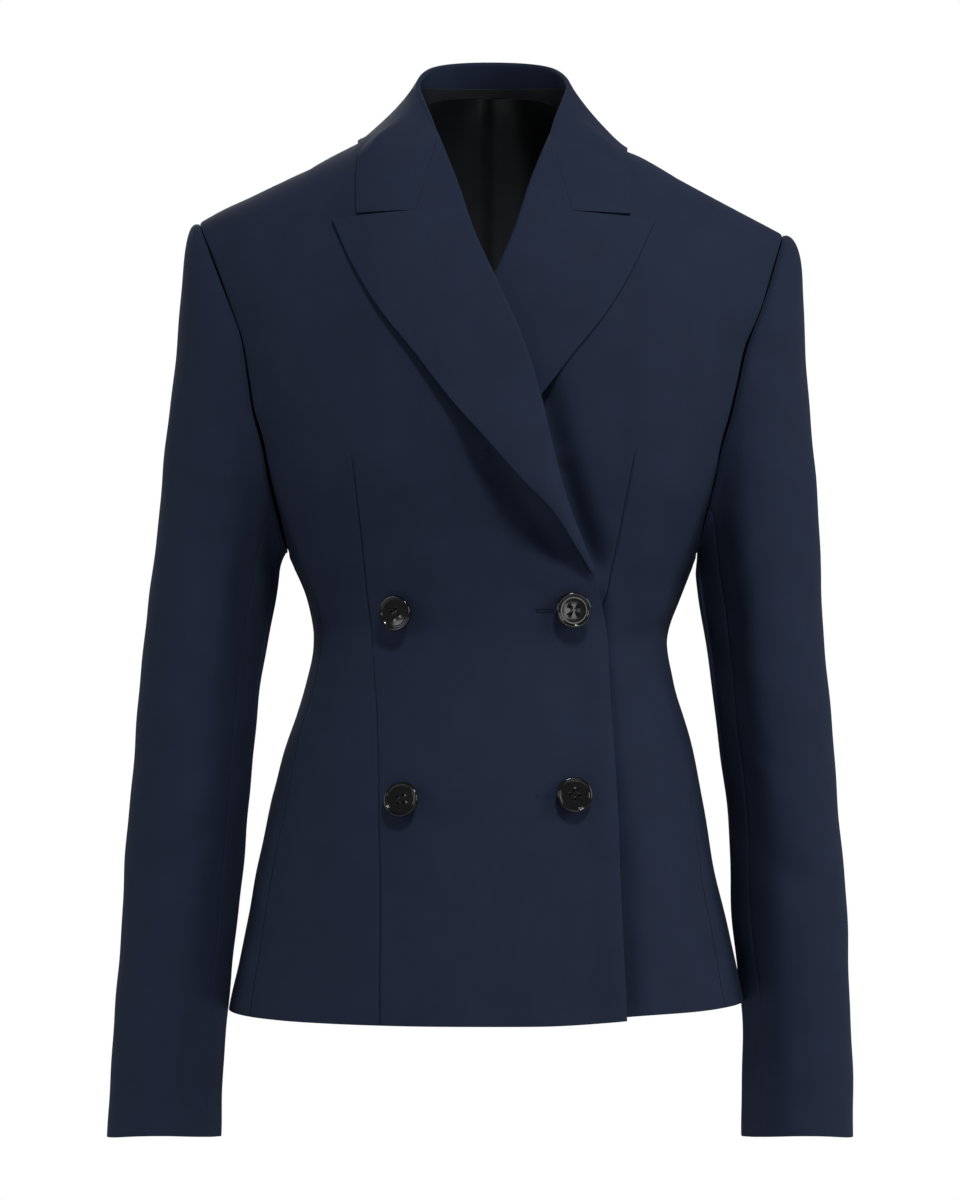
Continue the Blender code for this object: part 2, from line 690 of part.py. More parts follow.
def make_lining():
    """The back lining just inside the back, with a soft pleat at its middle."""
    rows, columns = LINING_GRID
    top = on_torso(0.0001, BACK_NECK_DEPTH, 1, True)[1]
    grid = []
    for i in range(rows + 1):
        share = i / rows
        line = []
        for j in range(columns + 1):
            across = -1 + 2 * j / columns
            angle = 180 - LINING_REACH * across
            level = LINING_FOOT + (top - LINING_FOOT) * share
            rise = (2.0 - top) * abs(across) ** 2.2 * smooth(share, 0.3, 1.0) * 0.55
            line.append((angle if angle <= 180 else angle - 360, min(level + rise, 1.96)))
        grid.append(line)
    grid = np.array(grid)
    points = off_torso(grid[..., 0], grid[..., 1], np.full(grid.shape[:2], -LINING_DEPTH))
    pleat = np.exp(-(((np.arange(columns + 1) - columns / 2) / 0.8) ** 2)) * PLEAT_DEPTH
    points[..., 1] -= pleat[None, :]
    return piece("back_lining", points[:, ::-1], SATIN_CLOTH, -1, gaps=(0.0,) * 4)


# ---------------------------------------------------------------- sleeves
def sleeve_ring(side, height, turn):
    columns = (1, 2) if side < 0 else (3, 4)
    outer, inner, front, back = (float(through(SLEEVE, c)(height)) for c in (*columns, 5, 6))
    along, across = np.cos(np.radians(turn)), np.sin(np.radians(turn))
    power = 2 / SLEEVE_POWER
    middle_y = (front + back) / 2
    x = (outer + inner) / 2 + ((outer - inner) / 2 - CLOTH / 2) * np.sign(along) * abs(along) ** power
    y = middle_y - ((back - front) / 2 - CLOTH / 2) * np.sign(across) * abs(across) ** power
    return np.array([side * x, y, height])


def sleeve_point(side, turn, share):
    """share 0 is the cuff, 1 the armhole; the cap is the upper part from SLEEVE_CAP_FROM."""
    bottom, top = SLEEVE[-1][0], SLEEVE[0][0]
    if share <= SLEEVE_CAP_FROM:
        return sleeve_ring(side, bottom + (top - bottom) * share / SLEEVE_CAP_FROM, turn)
    start = torso(*armhole(side, turn))
    end = sleeve_ring(side, top, turn)
    upness = np.cos(np.radians(turn))
    start = start + np.array([side * ARMHOLE_GAP * (0.8 + 0.2 * upness), 0, 0])
    start[1] -= ARMHOLE_GAP * 0.8 * np.sin(np.radians(turn))
    first = start + np.array([side * (0.0075 + 0.0045 * upness), -0.003 * np.sin(np.radians(turn)), 0])
    climb = (start[2] - end[2]) * (0.72 + 0.2 * upness)
    second = end + np.array([-side * 0.1065 * climb, 0, climb])
    t = ((1 - share) / (1 - SLEEVE_CAP_FROM)) ** 1.35
    return (
        start * (1 - t) ** 3
        + 3 * first * t * (1 - t) ** 2
        + 3 * second * t * t * (1 - t)
        + end * t**3
    )


def make_sleeve(name, side, first, last, columns):
    rows = SLEEVE_ROWS
    points = [
        [sleeve_point(side, first + (last - first) * j / columns, i / rows) for j in range(columns + 1)]
        for i in range(rows + 1)
    ]
    return piece(name, points, WOOL_CLOTH, side, gaps=(0.0, 0.0, 1.3 * SEAM_GAP, 1.3 * SEAM_GAP))


# ---------------------------------------------------------------- buttons
# Button section, from the middle of its face round the rim to the foot of the shank: radius, height
BUTTON_PROFILE = (
    (0.0000, 0.0017),
    (0.0084, 0.0019),
    (0.0095, 0.0029),
    (0.0106, 0.0031),
    (0.0116, 0.0020),
    (0.0113, 0.0008),
    (0.0090, 0.0000),
    (0.0024, 0.0000),
    (0.0024, -SHANK),
    (0.0000, -SHANK),
)


def helper(name, form):
    """A hidden cutter made from a bmesh."""
    mesh = bpy.data.meshes.new(name)
    form.to_mesh(mesh)
    form.free()
    made = bpy.data.objects.new(name, mesh)
    made.hide_render = True
    made.display_type = "WIRE"
    CUTTERS.objects.link(made)
    return made


def cut_away(body, cutter, label):
    cut = body.modifiers.new(label, "BOOLEAN")
    cut.operation = "DIFFERENCE"
    cut.solver = "EXACT"
    cut.object = cutter


def drill(name, placing):
    """Four rods that drill the holes of a button."""
    form = bmesh.new()
    for step in range(4):
        turn = np.radians(45 + 90 * step)
        at = Vector((np.cos(turn) * HOLE_FROM_CENTRE, np.sin(turn) * HOLE_FROM_CENTRE, 0.0010))
        bmesh.ops.create_cone(
            form,
            cap_ends=True,
            segments=10,
            radius1=HOLE_RADIUS,
            radius2=HOLE_RADIUS,
            depth=0.0040,
            matrix=Matrix.Translation(at),
        )
    rods = helper(name, form)
    rods.matrix_world = placing
    return rods


def cut_buttonhole(front, button):
    """A level slit through the front beside the button, opened towards the middle."""
    height = BUTTONS[button][1]
    start, end, width = BUTTONHOLE
    form = bmesh.new()
    middle = float(torso(5.0, 0.5)[1])
    place = Matrix.Translation(((start + end) / 2, middle, height))
    bmesh.ops.create_cube(form, size=1.0, matrix=place @ Matrix.Diagonal((end - start, 0.06, width, 1)))
    cut_away(front, helper("slit_" + button, form), "Buttonhole " + button)


def make_button(name, x, height, turn, tip):
    """A round button on a short shank, facing out from the cloth, with four holes through it."""
    at = tuple(map(np.array, on_torso(x, height, 2)))
    normal = Vector(torso_normal(*at))
    mesh = bpy.data.meshes.new(name)
    form = bmesh.new()
    rim = [form.verts.new((radius, 0, z)) for radius, z in BUTTON_PROFILE]
    for first, second in zip(rim, rim[1:]):
        form.edges.new((first, second))
    form.to_mesh(mesh)
    form.free()
    body = bpy.data.objects.new(name, mesh)
    BLAZER.objects.link(body)
    mesh.materials.append(HORN_BUTTON)
    turned = body.modifiers.new("Turned", "SCREW")
    turned.steps = turned.render_steps = 24
    turned.use_merge_vertices = True
    turned.merge_threshold = 0.00005
    facing = normal.to_track_quat("Z", "Y").to_matrix().to_4x4()
    tilt = Matrix.Rotation(np.radians(turn), 4, "Y") @ Matrix.Rotation(np.radians(tip), 4, "X")
    stand = Vector(over_front(*at)) + normal * BUTTON_STAND
    body.matrix_world = Matrix.Translation(stand) @ facing @ tilt @ Matrix.Translation((0, 0, SHANK))
    cut_away(body, drill("drill_" + name, body.matrix_world), "Drilled")
    return body


def main():
    fronts = {
        -1: make_front("front_right", -1, FRONT_EDGE, over_front),
        1: make_front("front_left", 1, UNDERLAP_EDGE, under_front),
    }
    for name in ("button_left_waist", "button_left_skirt"):
        cut_buttonhole(fronts[-1], name)
    make_lapel("lapel_right", -1, over_front)
    make_lapel("lapel_left", 1, under_front)
    first, last = SLEEVE_SEAMS
    for word, side in (("right", -1), ("left", 1)):
        make_side("side_" + word, side)
        make_back("back_" + word, side)
        make_sleeve("top_sleeve_" + word, side, last - 360, first, TOP_SLEEVE_COLUMNS)
        make_sleeve("under_sleeve_" + word, side, first, last, UNDER_SLEEVE_COLUMNS)
    make_collar()
    make_lining()
    for name, (x, height, turn, tip) in BUTTONS.items():
        make_button(name, x, height, turn, tip)


main()
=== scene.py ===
"""Women's navy double-breasted blazer, filled out as if worn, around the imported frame.

The cloth pieces follow the torso, sleeve and collar forms of the solids at a fine step, with their
seams drawn in, soft creases, a padded shoulder and a lapel that lifts off the chest. Metres, +Z up.
"""

import bmesh
import bpy
import numpy as np
from mathutils import Matrix, Vector


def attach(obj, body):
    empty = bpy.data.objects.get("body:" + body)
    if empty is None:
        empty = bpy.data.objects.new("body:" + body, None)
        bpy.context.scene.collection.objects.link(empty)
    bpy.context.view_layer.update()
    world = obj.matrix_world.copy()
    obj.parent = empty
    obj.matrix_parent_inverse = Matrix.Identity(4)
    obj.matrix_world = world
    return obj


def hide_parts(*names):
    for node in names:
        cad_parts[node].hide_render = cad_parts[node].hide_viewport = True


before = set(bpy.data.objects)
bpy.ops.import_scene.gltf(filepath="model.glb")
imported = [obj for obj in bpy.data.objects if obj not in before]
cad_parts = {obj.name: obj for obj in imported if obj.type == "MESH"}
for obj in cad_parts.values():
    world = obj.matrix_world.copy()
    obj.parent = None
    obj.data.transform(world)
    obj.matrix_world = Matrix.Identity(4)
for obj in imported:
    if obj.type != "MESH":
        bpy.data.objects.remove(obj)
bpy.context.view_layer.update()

# -------- sizes of the form, close to those of the solids
LAYER = 0.0019
UNDER = 0.0018
OVER_WAIST = 0.0014
OVER_CHEST = 0.0046
HEM = -0.5985
CHEST = -0.17
ROLL_POWER = 2.2
SLOPE_FROM = -0.29
SLOPE_TO = -0.03
NECK_HALF = 0.068
SLOPE_STARTS = {-1: 0.068, 1: 0.064}
SHOULDER_DROP = {-1: 0.067, 1: 0.0715}
SHOULDER_RUN = 0.131
SLOPE_BEND = 0.012  # how softly the shoulder line bends where its slope starts
BACK_NECK_RISE = 0.058
HEM_LIFT = 0.006  # the hem rises towards the wearer's left side
MIDDLE = 0.00225

# Torso rings: height, half width to the wearer's right and left, depth to the front and the back, squareness
TORSO = (
    (-0.5985, 0.1765, 0.1715, 0.134, 0.122, 2.2),
    (-0.552, 0.167, 0.1615, 0.131, 0.119, 2.2),
    (-0.511, 0.159, 0.153, 0.127, 0.114, 2.22),
    (-0.457, 0.147, 0.144, 0.121, 0.104, 2.25),
    (-0.416, 0.136, 0.135, 0.114, 0.092, 2.28),
    (-0.375, 0.124, 0.124, 0.107, 0.077, 2.3),
    (-0.35, 0.1195, 0.12, 0.105, 0.072, 2.3),
    (-0.321, 0.124, 0.128, 0.107, 0.073, 2.32),
    (-0.289, 0.1375, 0.14, 0.112, 0.079, 2.35),
    (-0.24, 0.1536, 0.156, 0.123, 0.092, 2.4),
    (-0.208, 0.161, 0.1635, 0.1255, 0.102, 2.4),
    (-0.179, 0.169, 0.1715, 0.1245, 0.108, 2.4),
    (-0.145, 0.174, 0.178, 0.1235, 0.112, 2.4),
    (-0.104, 0.1804, 0.186, 0.1225, 0.1135, 2.4),
    (-0.0685, 0.191, 0.1965, 0.122, 0.1135, 2.4),
    (-0.025, 0.206, 0.2095, 0.122, 0.1135, 2.4),
    (0.0, 0.2155, 0.2175, 0.122, 0.1135, 2.4),
)
ARMHOLE_MIDDLE = -0.1445
ARMHOLE_HALF_HEIGHT = 0.1445
ARMHOLE_FRONT = 0.058
ARMHOLE_BACK = 0.054
ARMHOLE_POWER = 2.2
FRONT_SEAM = (64.5, 128.0)
BACK_SEAM = (128.0, 236.0)
# Front edges below the lapel: height, x
FRONT_EDGE = {
    -1: (
        (-0.5985, 0.0875),
        (-0.529, 0.0835),
        (-0.451, 0.0806),
        (-0.38, 0.0763),
        (-0.334, 0.0743),
        (-0.304, 0.0676),
    ),
    1: (
        (-0.5985, -0.074),
        (-0.451, -0.072),
        (-0.334, -0.069),
        (-0.304, -0.0631),
    ),
}
# Waist dart of each front: height, distance from the middle plane
DART = {
    -1: (
        (-0.5985, 0.0715),
        (-0.471, 0.0722),
        (-0.387, 0.075),
        (-0.295, 0.0822),
        (-0.227, 0.0892),
        (-0.12, 0.106),
        (-0.031, 0.125),
    ),
    1: (
        (-0.5985, 0.061),
        (-0.471, 0.064),
        (-0.387, 0.069),
        (-0.335, 0.075),
        (-0.295, 0.0822),
        (-0.227, 0.094),
        (-0.12, 0.11),
        (-0.031, 0.127),
    ),
}
UNDERLAP_SHORTER = 0.0022
DART_TIP = -0.22
DART_FULLNESS = 0.001  # how much the cloth swells round the dart's tip
# Lapel: roll line x and height, outer edge x and height, lift off the chest (right, left)
LAPEL = (
    (-0.035, -0.012, -0.1045, -0.0695, 0.0004, 0.0002),
    (-0.0226, -0.045, -0.0895, -0.102, 0.001, 0.0008),
    (-0.0114, -0.08, -0.0715, -0.132, 0.002, 0.001),
    (0.0043, -0.115, -0.0488, -0.1605, 0.0036, 0.001),
    (0.0196, -0.15, -0.0262, -0.19, 0.0066, 0.0006),
    (0.031, -0.185, -0.003, -0.216, 0.012, 0.0),
    (0.0395, -0.22, 0.02, -0.242, 0.0155, 0.0),
    (0.0495, -0.256, 0.0425, -0.2655, 0.012, 0.0),
    (0.068, -0.3025, 0.0666, -0.3035, 0.0012, 0.0),
)
GORGE_CORNER = (-0.0487, -0.0652)
GORGE_SHARE = 3 / 7
# Collar: share of the way, fold line x, y, z, outer edge x and its height (in front) or depth (behind)
COLLAR_FRONT = (
    (0.0, -0.035, None, -0.012, -0.088, -0.0662),
    (0.45, -0.04, -0.033, 0.003, -0.088, -0.042),
    (0.75, -0.0452, -0.015, 0.017, -0.0872, -0.022),
)
COLLAR_BACK = (
    (0.0, -0.049, 0.004, 0.029, -0.0868, 0.0),
    (0.25, -0.0462, 0.022, 0.0385, -0.079, 0.029),
    (0.5, -0.0385, 0.04, 0.0455, -0.06, 0.054),
    (0.75, -0.023, 0.053, 0.0495, -0.034, 0.07),
    (1.0, 0.0, 0.059, 0.051, 0.0, 0.077),
)
COLLAR_CORNER = 0.6
BACK_NECK_DEPTH = 0.066
LINING_FOOT = 0.62
LINING_REACH = 46
LINING_DEPTH = 0.0044
LINING_SHELL = 0.0002
FACING_DEPTH = 0.0014
PLEAT_DEPTH = 0.0085
PLEAT_WIDTH = 0.013
# Sleeve rings: height, outer and inner distance from x=0 (right sleeve, then left), front and back
SLEEVE = (
    (-0.305, 0.2295, 0.143, 0.224, 0.1405, -0.06, 0.061),
    (-0.389, 0.239, 0.157, 0.23, 0.151, -0.06, 0.056),
    (-0.457, 0.245, 0.164, 0.236, 0.16, -0.0585, 0.05),
    (-0.525, 0.2495, 0.169, 0.2415, 0.163, -0.056, 0.044),
    (-0.593, 0.2535, 0.177, 0.245, 0.17, -0.0535, 0.0385),
    (-0.684, 0.2595, 0.1822, 0.2465, 0.171, -0.051, 0.032),
)
LEFT_SLEEVE_FULLNESS = 0.0048
SLEEVE_POWER = 2.15
SLEEVE_FLATTENED = 0.95  # how much the quarter that faces the body and the front is flattened
CUFF_LIFT = 0.0045  # the cuff is cut higher in front
SLEEVE_SEAMS = (140.0, 260.0)
SLEEVE_CAP_FROM = 0.55
# Buttons: x, height, and in degrees the turn about the upright axis, the tip about the level one, the spin
BUTTONS = {
    "button_right_waist": (-0.0592, -0.3288, -9.0, -4.0, 29.0),
    "button_left_waist": (0.0528, -0.327, -7.0, -7.0, 0.0),
    "button_right_skirt": (-0.0562, -0.4528, -5.0, -6.0, 12.0),
    "button_left_skirt": (0.0533, -0.4496, -3.0, -3.0, 40.0),
}

# -------- how the cloth looks
SHELL = 0.0015  # wall of the visible cloth
GAP = 0.00008  # between two sewn pieces
FINE_GAP = 0.00005  # between the lapels and the collar
DITCH_DEPTH = 0.0009
DITCH_WIDTH = 0.001

WOOL = (0.01, 0.0148, 0.03)
WOOL_LIGHT = (0.0127, 0.0183, 0.037)
SATIN = (0.0108, 0.0121, 0.0146)
HORN = (0.0014, 0.0014, 0.0017)
THREAD = (0.0036, 0.0042, 0.006)

# Where a crease fades in and out, as shares of its length
BODY_FADES = (-0.25, 0.25, 0.8, 1.25)
SLEEVE_FADES = (-0.3, 0.3, 0.7, 1.3)
SLEEVE_RADIUS = 0.05
# Soft creases of the body: start x, z, end x, z, half width, height (below 0 a trough), 1 front or 0 back
BODY_CREASES = (
    (-0.15, -0.235, -0.12, -0.33, 0.012, -0.0016, 1),
    (0.15, -0.24, 0.122, -0.33, 0.012, -0.0016, 1),
    (-0.12, -0.335, -0.06, -0.345, 0.008, -0.001, 1),
    (0.122, -0.338, 0.088, -0.352, 0.008, -0.0012, 1),
    (0.118, -0.4, 0.128, -0.59, 0.014, 0.0022, 1),
    (-0.12, -0.44, -0.132, -0.59, 0.016, -0.0018, 1),
    (-0.156, -0.13, -0.146, -0.215, 0.012, -0.0016, 1),
    (0.16, -0.13, 0.149, -0.22, 0.012, -0.0016, 1),
    (-0.075, -0.33, -0.02, -0.322, 0.01, 0.0008, 1),
    (-0.14, -0.2, -0.08, -0.34, 0.016, -0.0016, 0),
    (0.14, -0.205, 0.085, -0.34, 0.016, -0.0016, 0),
    (-0.1, -0.35, -0.05, -0.352, 0.01, -0.0014, 0),
    (0.1, -0.352, 0.05, -0.35, 0.01, -0.0014, 0),
    (-0.06, -0.43, -0.075, -0.59, 0.018, 0.002, 0),
    (0.06, -0.43, 0.078, -0.59, 0.018, 0.002, 0),
)
# Hollows only one front has: beside the roll edge, under the lapel, and the lift of the lower front edge
FRONT_CREASES = {
    -1: (
        (-0.006, -0.222, 0.046, -0.288, 0.011, -0.007, 1),
        (-0.03, -0.222, 0.02, -0.292, 0.018, -0.002, 1),
        (0.07, -0.35, 0.087, -0.61, 0.012, 0.0042, 1),
    ),
    1: (
        (0.016, -0.13, 0.0475, -0.235, 0.0105, -0.0085, 1),
        (0.0475, -0.235, 0.07, -0.3, 0.0085, -0.0085, 1),
        (-0.008, -0.222, 0.044, -0.29, 0.015, -0.009, 1),
        (-0.03, -0.222, 0.02, -0.292, 0.02, -0.004, 1),
        (0.0735, -0.32, 0.0765, -0.38, 0.0045, -0.0045, 1),
        (0.076, -0.37, 0.081, -0.46, 0.0055, -0.006, 1),
        (0.08, -0.45, 0.086, -0.61, 0.012, -0.011, 1),
    ),
}
# Soft creases of a sleeve: turn and height at the start and the end, half width, height
SLEEVE_CREASES = {
    -1: (
        (60.0, -0.25, 130.0, -0.33, 0.012, -0.0016),
        (120.0, -0.42, 60.0, -0.455, 0.012, -0.0014),
        (125.0, -0.47, 80.0, -0.5, 0.011, -0.0012),
        (300.0, -0.4, 250.0, -0.44, 0.014, -0.0018),
        (55.0, -0.56, 110.0, -0.61, 0.013, -0.001),
        (20.0, -0.13, 45.0, -0.22, 0.014, -0.001),
    ),
    1: (
        (55.0, -0.255, 130.0, -0.335, 0.012, -0.0016),
        (125.0, -0.41, 70.0, -0.45, 0.012, -0.0013),
        (120.0, -0.49, 60.0, -0.515, 0.011, -0.0013),
        (300.0, -0.41, 250.0, -0.45, 0.014, -0.0018),
        (60.0, -0.575, 115.0, -0.62, 0.013, -0.001),
        (15.0, -0.135, 40.0, -0.23, 0.014, -0.0011),
    ),
}


# -------- curves and the torso surface
def joined(t, start, start_slope, end, end_slope):
    """The smooth step from start to end that leaves and arrives with these slopes, t going from 0 to 1."""
    return (
        start * (1 + 2 * t) * (1 - t) ** 2
        + start_slope * t * (1 - t) ** 2
        + end * t * t * (3 - 2 * t)
        + end_slope * t * t * (t - 1)
    )


def through(table, column, key=0):
    """A smooth curve through one column of a table, read at any key."""
    rows = sorted(table, key=lambda row: row[key])
    keys = np.array([row[key] for row in rows])
    values = np.array([row[column] for row in rows])
    slopes = np.gradient(values, keys)

    def read(at):
        at = np.clip(np.asarray(at, float), keys[0], keys[-1])
        i = np.clip(np.searchsorted(keys, at) - 1, 0, len(keys) - 2)
        width = keys[i + 1] - keys[i]
        t = (at - keys[i]) / width
        return joined(t, values[i], slopes[i] * width, values[i + 1], slopes[i + 1] * width)

    return read


def smooth(value, low, high):
    """0 at low, 1 at high, eased at both ends."""
    t = np.clip((np.asarray(value, float) - low) / (high - low), 0, 1)
    return t * t * (3 - 2 * t)


HALF_RIGHT, HALF_LEFT, DEPTH_FRONT, DEPTH_BACK, SQUARENESS = (
    through(TORSO, column) for column in range(1, 6)
)


def unit(vectors):
    return vectors / np.maximum(np.linalg.norm(vectors, axis=-1, keepdims=True), 1e-12)


def by_side(x, right, left):
    return np.where(np.asarray(x) < 0, right, left)


def height_and_roll(level):
    """The height at a level (0 hem, 1 chest, 2 shoulder line) and the share of the depth left there."""
    level = np.asarray(level, float)
    turn = np.radians(90 * np.clip(level - 1, 0, 1))
    below = HEM + np.clip(level, 0, 1) * (CHEST - HEM)
    above = CHEST * (1 - np.sin(turn) ** (2 / ROLL_POWER))
    return np.where(level < 1, below, above), np.cos(turn) ** (2 / ROLL_POWER)


def shoulder_lift(x, back):
    """How far the shoulder line falls towards the arms, and the back rises to the neck."""
    out = np.abs(x) - by_side(x, SLOPE_STARTS[-1], SLOPE_STARTS[1])
    drop = by_side(x, SHOULDER_DROP[-1], SHOULDER_DROP[1]) / SHOULDER_RUN
    slope = -drop * (out + np.sqrt(out * out + SLOPE_BEND**2)) / 2
    rise = BACK_NECK_RISE * np.clip(1 - (x / NECK_HALF) ** 2, 0, 1)
    return slope + np.where(back, rise, 0)


def torso(angle, level):
    """The point of the torso surface at this angle (degrees, 0 centre front, + to the wearer's left)."""
    angle, level = np.broadcast_arrays(np.asarray(angle, float), np.asarray(level, float))
    height, roll = height_and_roll(level)
    power = 2 / SQUARENESS(height)
    side, ahead = np.sin(np.radians(angle)), np.cos(np.radians(angle))
    half = by_side(side, HALF_RIGHT(height), HALF_LEFT(height))
    depth = np.where(ahead > 0, -DEPTH_FRONT(height), DEPTH_BACK(height)) * roll
    x = half * np.sign(side) * np.abs(side) ** power
    y = depth * np.abs(ahead) ** power
    sheared = smooth(height, SLOPE_FROM, SLOPE_TO)
    lifted = HEM_LIFT * smooth(x, 0.03, 0.165) * (1 - smooth(height, HEM, HEM + 0.13))
    return np.stack([x, y, height + lifted + sheared * shoulder_lift(x, ahead < 0)], -1)


def torso_normal(angle, level):
    level = np.clip(level, 0.004, 1.985)
    round_it = torso(angle + 0.4, level) - torso(angle - 0.4, level)
    up_it = torso(angle, level + 0.004) - torso(angle, level - 0.004)
    return unit(np.cross(round_it, up_it))


def off_torso(angle, level, distance):
    return torso(angle, level) + torso_normal(angle, level) * np.asarray(distance)[..., None]


def angle_at(x, level, back=False):
    height, _ = height_and_roll(level)
    half = by_side(x, HALF_RIGHT(height), HALF_LEFT(height))
    share = np.clip(np.abs(x) / half, 0, 1) ** (SQUARENESS(height) / 2)
    angle = np.degrees(np.arcsin(share))
    return by_side(x, -1, 1) * np.where(back, 180 - angle, angle)


def on_torso(x, target, axis, back=False):
    """(angle, level) of the torso points with this x whose height (axis 2) or depth (axis 1) is target."""
    x, target = np.broadcast_arrays(np.asarray(x, float), np.asarray(target, float))
    low = np.full(x.shape, 1.0 if axis == 1 else 0.0)
    high = np.full(x.shape, 2.0)
    for _ in range(36):
        level = (low + high) / 2
        found = torso(angle_at(x, level, back), level)[..., axis]
        up = np.abs(found) > np.abs(target) if axis == 1 else found < target
        low, high = np.where(up, level, low), np.where(up, high, level)
    return angle_at(x, level, back), level


def armhole(side, turn):
    """(angle, level) on the armhole: turn 0 is at the shoulder, 90 in front, 180 underneath, 270 behind."""
    turn = turn % 360
    if turn < 3 or turn > 357:
        angle, _ = armhole(side, 3 if turn < 3 else 357)
        return angle, 2.0
    power = 2 / ARMHOLE_POWER
    along, across = np.cos(np.radians(turn)), np.sin(np.radians(turn))
    height = ARMHOLE_MIDDLE + ARMHOLE_HALF_HEIGHT * np.sign(along) * abs(along) ** power
    height = min(height, -1e-6)
    if height < CHEST:
        level = (height - HEM) / (CHEST - HEM)
    else:
        level = 1 + np.degrees(np.arcsin((1 - height / CHEST) ** (ROLL_POWER / 2))) / 90
    _, roll = height_and_roll(level)
    front = across >= 0
    reach = (ARMHOLE_FRONT if front else ARMHOLE_BACK) * abs(across) ** power
    depth = float((DEPTH_FRONT if front else DEPTH_BACK)(height) * max(roll, 1e-6))
    angle = np.degrees(np.arccos(min(reach / depth, 1) ** (float(SQUARENESS(height)) / 2)))
    return side * (angle if front else 180 - angle), level


def between(first, second, share):
    return tuple(a + (b - a) * share for a, b in zip(first, second))


def lapel_x(x, side):
    """Tables hold the wearer's right side; the left one is its mirror image."""
    return x if side < 0 else 2 * MIDDLE - x


def lying_at(side, surface, x, z, rise):
    """(angle, level) of the cloth under a piece lying this far above it that is to show at x and z."""
    x, z, rise = np.broadcast_arrays(lapel_x(np.asarray(x, float), side), z, rise)
    low = smooth(-z, 0.014, 0.055)
    aim_x, aim_z = x.copy(), z.copy()
    for _ in range(4):
        angle, level = on_torso(aim_x, aim_z, 2)
        point = surface(angle, level) + torso_normal(angle, level) * rise[..., None]
        aim_x = aim_x - (point[..., 0] - x) * low * 0.8
        aim_z = aim_z - (point[..., 2] - z) * low * 0.8
    return on_torso(aim_x, aim_z, 2)


# -------- creases and unevenness
def crease(across, up, run, rise, width, height, fades):
    """Height of one crease at points this far across and up from its start; it fades at its two ends."""
    along = (across * run + up * rise) / (run * run + rise * rise)
    near = np.clip(along, 0, 1)
    gone = np.hypot(across - run * near, up - rise * near)
    fade = smooth(along, *fades[:2]) * (1 - smooth(along, *fades[2:]))
    return height * np.exp(-((gone / width) ** 2)) * fade


def crease_field(points, rows):
    """Height to add at each point for soft creases in the plane of x and z."""
    total = np.zeros(points.shape[:-1])
    back = points[..., 1] > 0
    for x0, z0, x1, z1, width, height, front in rows:
        across, up = points[..., 0] - x0, points[..., 2] - z0
        added = crease(across, up, x1 - x0, z1 - z0, width, height, BODY_FADES)
        total += np.where(back == (not front), added, 0)
    return total


def unevenness(points, amount=0.00045):
    """The slight wander of pressed cloth: a few long waves that never line up."""
    x, y, z = points[..., 0], points[..., 1], points[..., 2]
    wave = (
        np.sin(31 * x + 17 * z + 1.3)
        + 0.8 * np.sin(47 * z - 23 * x + 29 * y + 0.4)
        + 0.5 * np.sin(83 * x + 61 * z + 40 * y + 2.2)
        + 0.35 * np.sin(131 * z + 90 * x - 57 * y)
    )
    return wave * amount


def ditch(distance, width=DITCH_WIDTH, depth=DITCH_DEPTH):
    return -depth * np.exp(-((distance / width) ** 2))


def edge_distances(points):
    """Distances of each grid point, along the grid, to its first and last row and first and last column."""
    down = np.linalg.norm(np.diff(points, axis=0), axis=-1)
    across = np.linalg.norm(np.diff(points, axis=1), axis=-1)
    rows = np.concatenate([np.zeros((1, points.shape[1])), np.cumsum(down, 0)])
    columns = np.concatenate([np.zeros((points.shape[0], 1)), np.cumsum(across, 1)], 1)
    return rows, rows[-1] - rows, columns, columns[:, -1:] - columns


def grid_normals(points):
    return unit(np.cross(np.gradient(points, axis=1), np.gradient(points, axis=0)))


# -------- materials
class Nodes:
    """Short calls for building a material's nodes."""

    def __init__(self, name):
        self.material = bpy.data.materials.new(name)
        self.material.use_nodes = True
        self.tree = self.material.node_tree
        self.shader = self.tree.nodes["Principled BSDF"]

    def add(self, kind, **values):
        made = self.tree.nodes.new(kind)
        for key, value in values.items():
            if key in made.inputs:
                made.inputs[key].default_value = value
            else:
                setattr(made, key, value)
        return made

    def link(self, start, end):
        self.tree.links.new(start, end)

    def place(self, kind):
        """Places in metres: UV lies along the cloth, Object in the piece's own space."""
        return self.add("ShaderNodeTexCoord").outputs[kind]

    def noise(self, **values):
        made = self.add("ShaderNodeTexNoise", **values)
        self.link(self.place("Object"), made.inputs["Vector"])
        return made.outputs["Fac"]

    def colour(self, amount, dark, light, start=0.0):
        """From dark to light as the amount goes from start to 1."""
        ramp = self.add("ShaderNodeValToRGB")
        low, high = ramp.color_ramp.elements
        low.position = start
        low.color = (*dark, 1)
        high.color = (*light, 1)
        self.link(amount, ramp.inputs["Fac"])
        self.link(ramp.outputs["Color"], self.shader.inputs["Base Color"])

    def roughness(self, amount, low, high):
        spread = self.add("ShaderNodeMapRange", **{"To Min": low, "To Max": high})
        self.link(amount, spread.inputs["Value"])
        self.link(spread.outputs["Result"], self.shader.inputs["Roughness"])

    def bump(self, height, strength, depth):
        bump = self.add("ShaderNodeBump", Strength=strength, Distance=depth)
        self.link(height, bump.inputs["Height"])
        self.link(bump.outputs["Normal"], self.shader.inputs["Normal"])


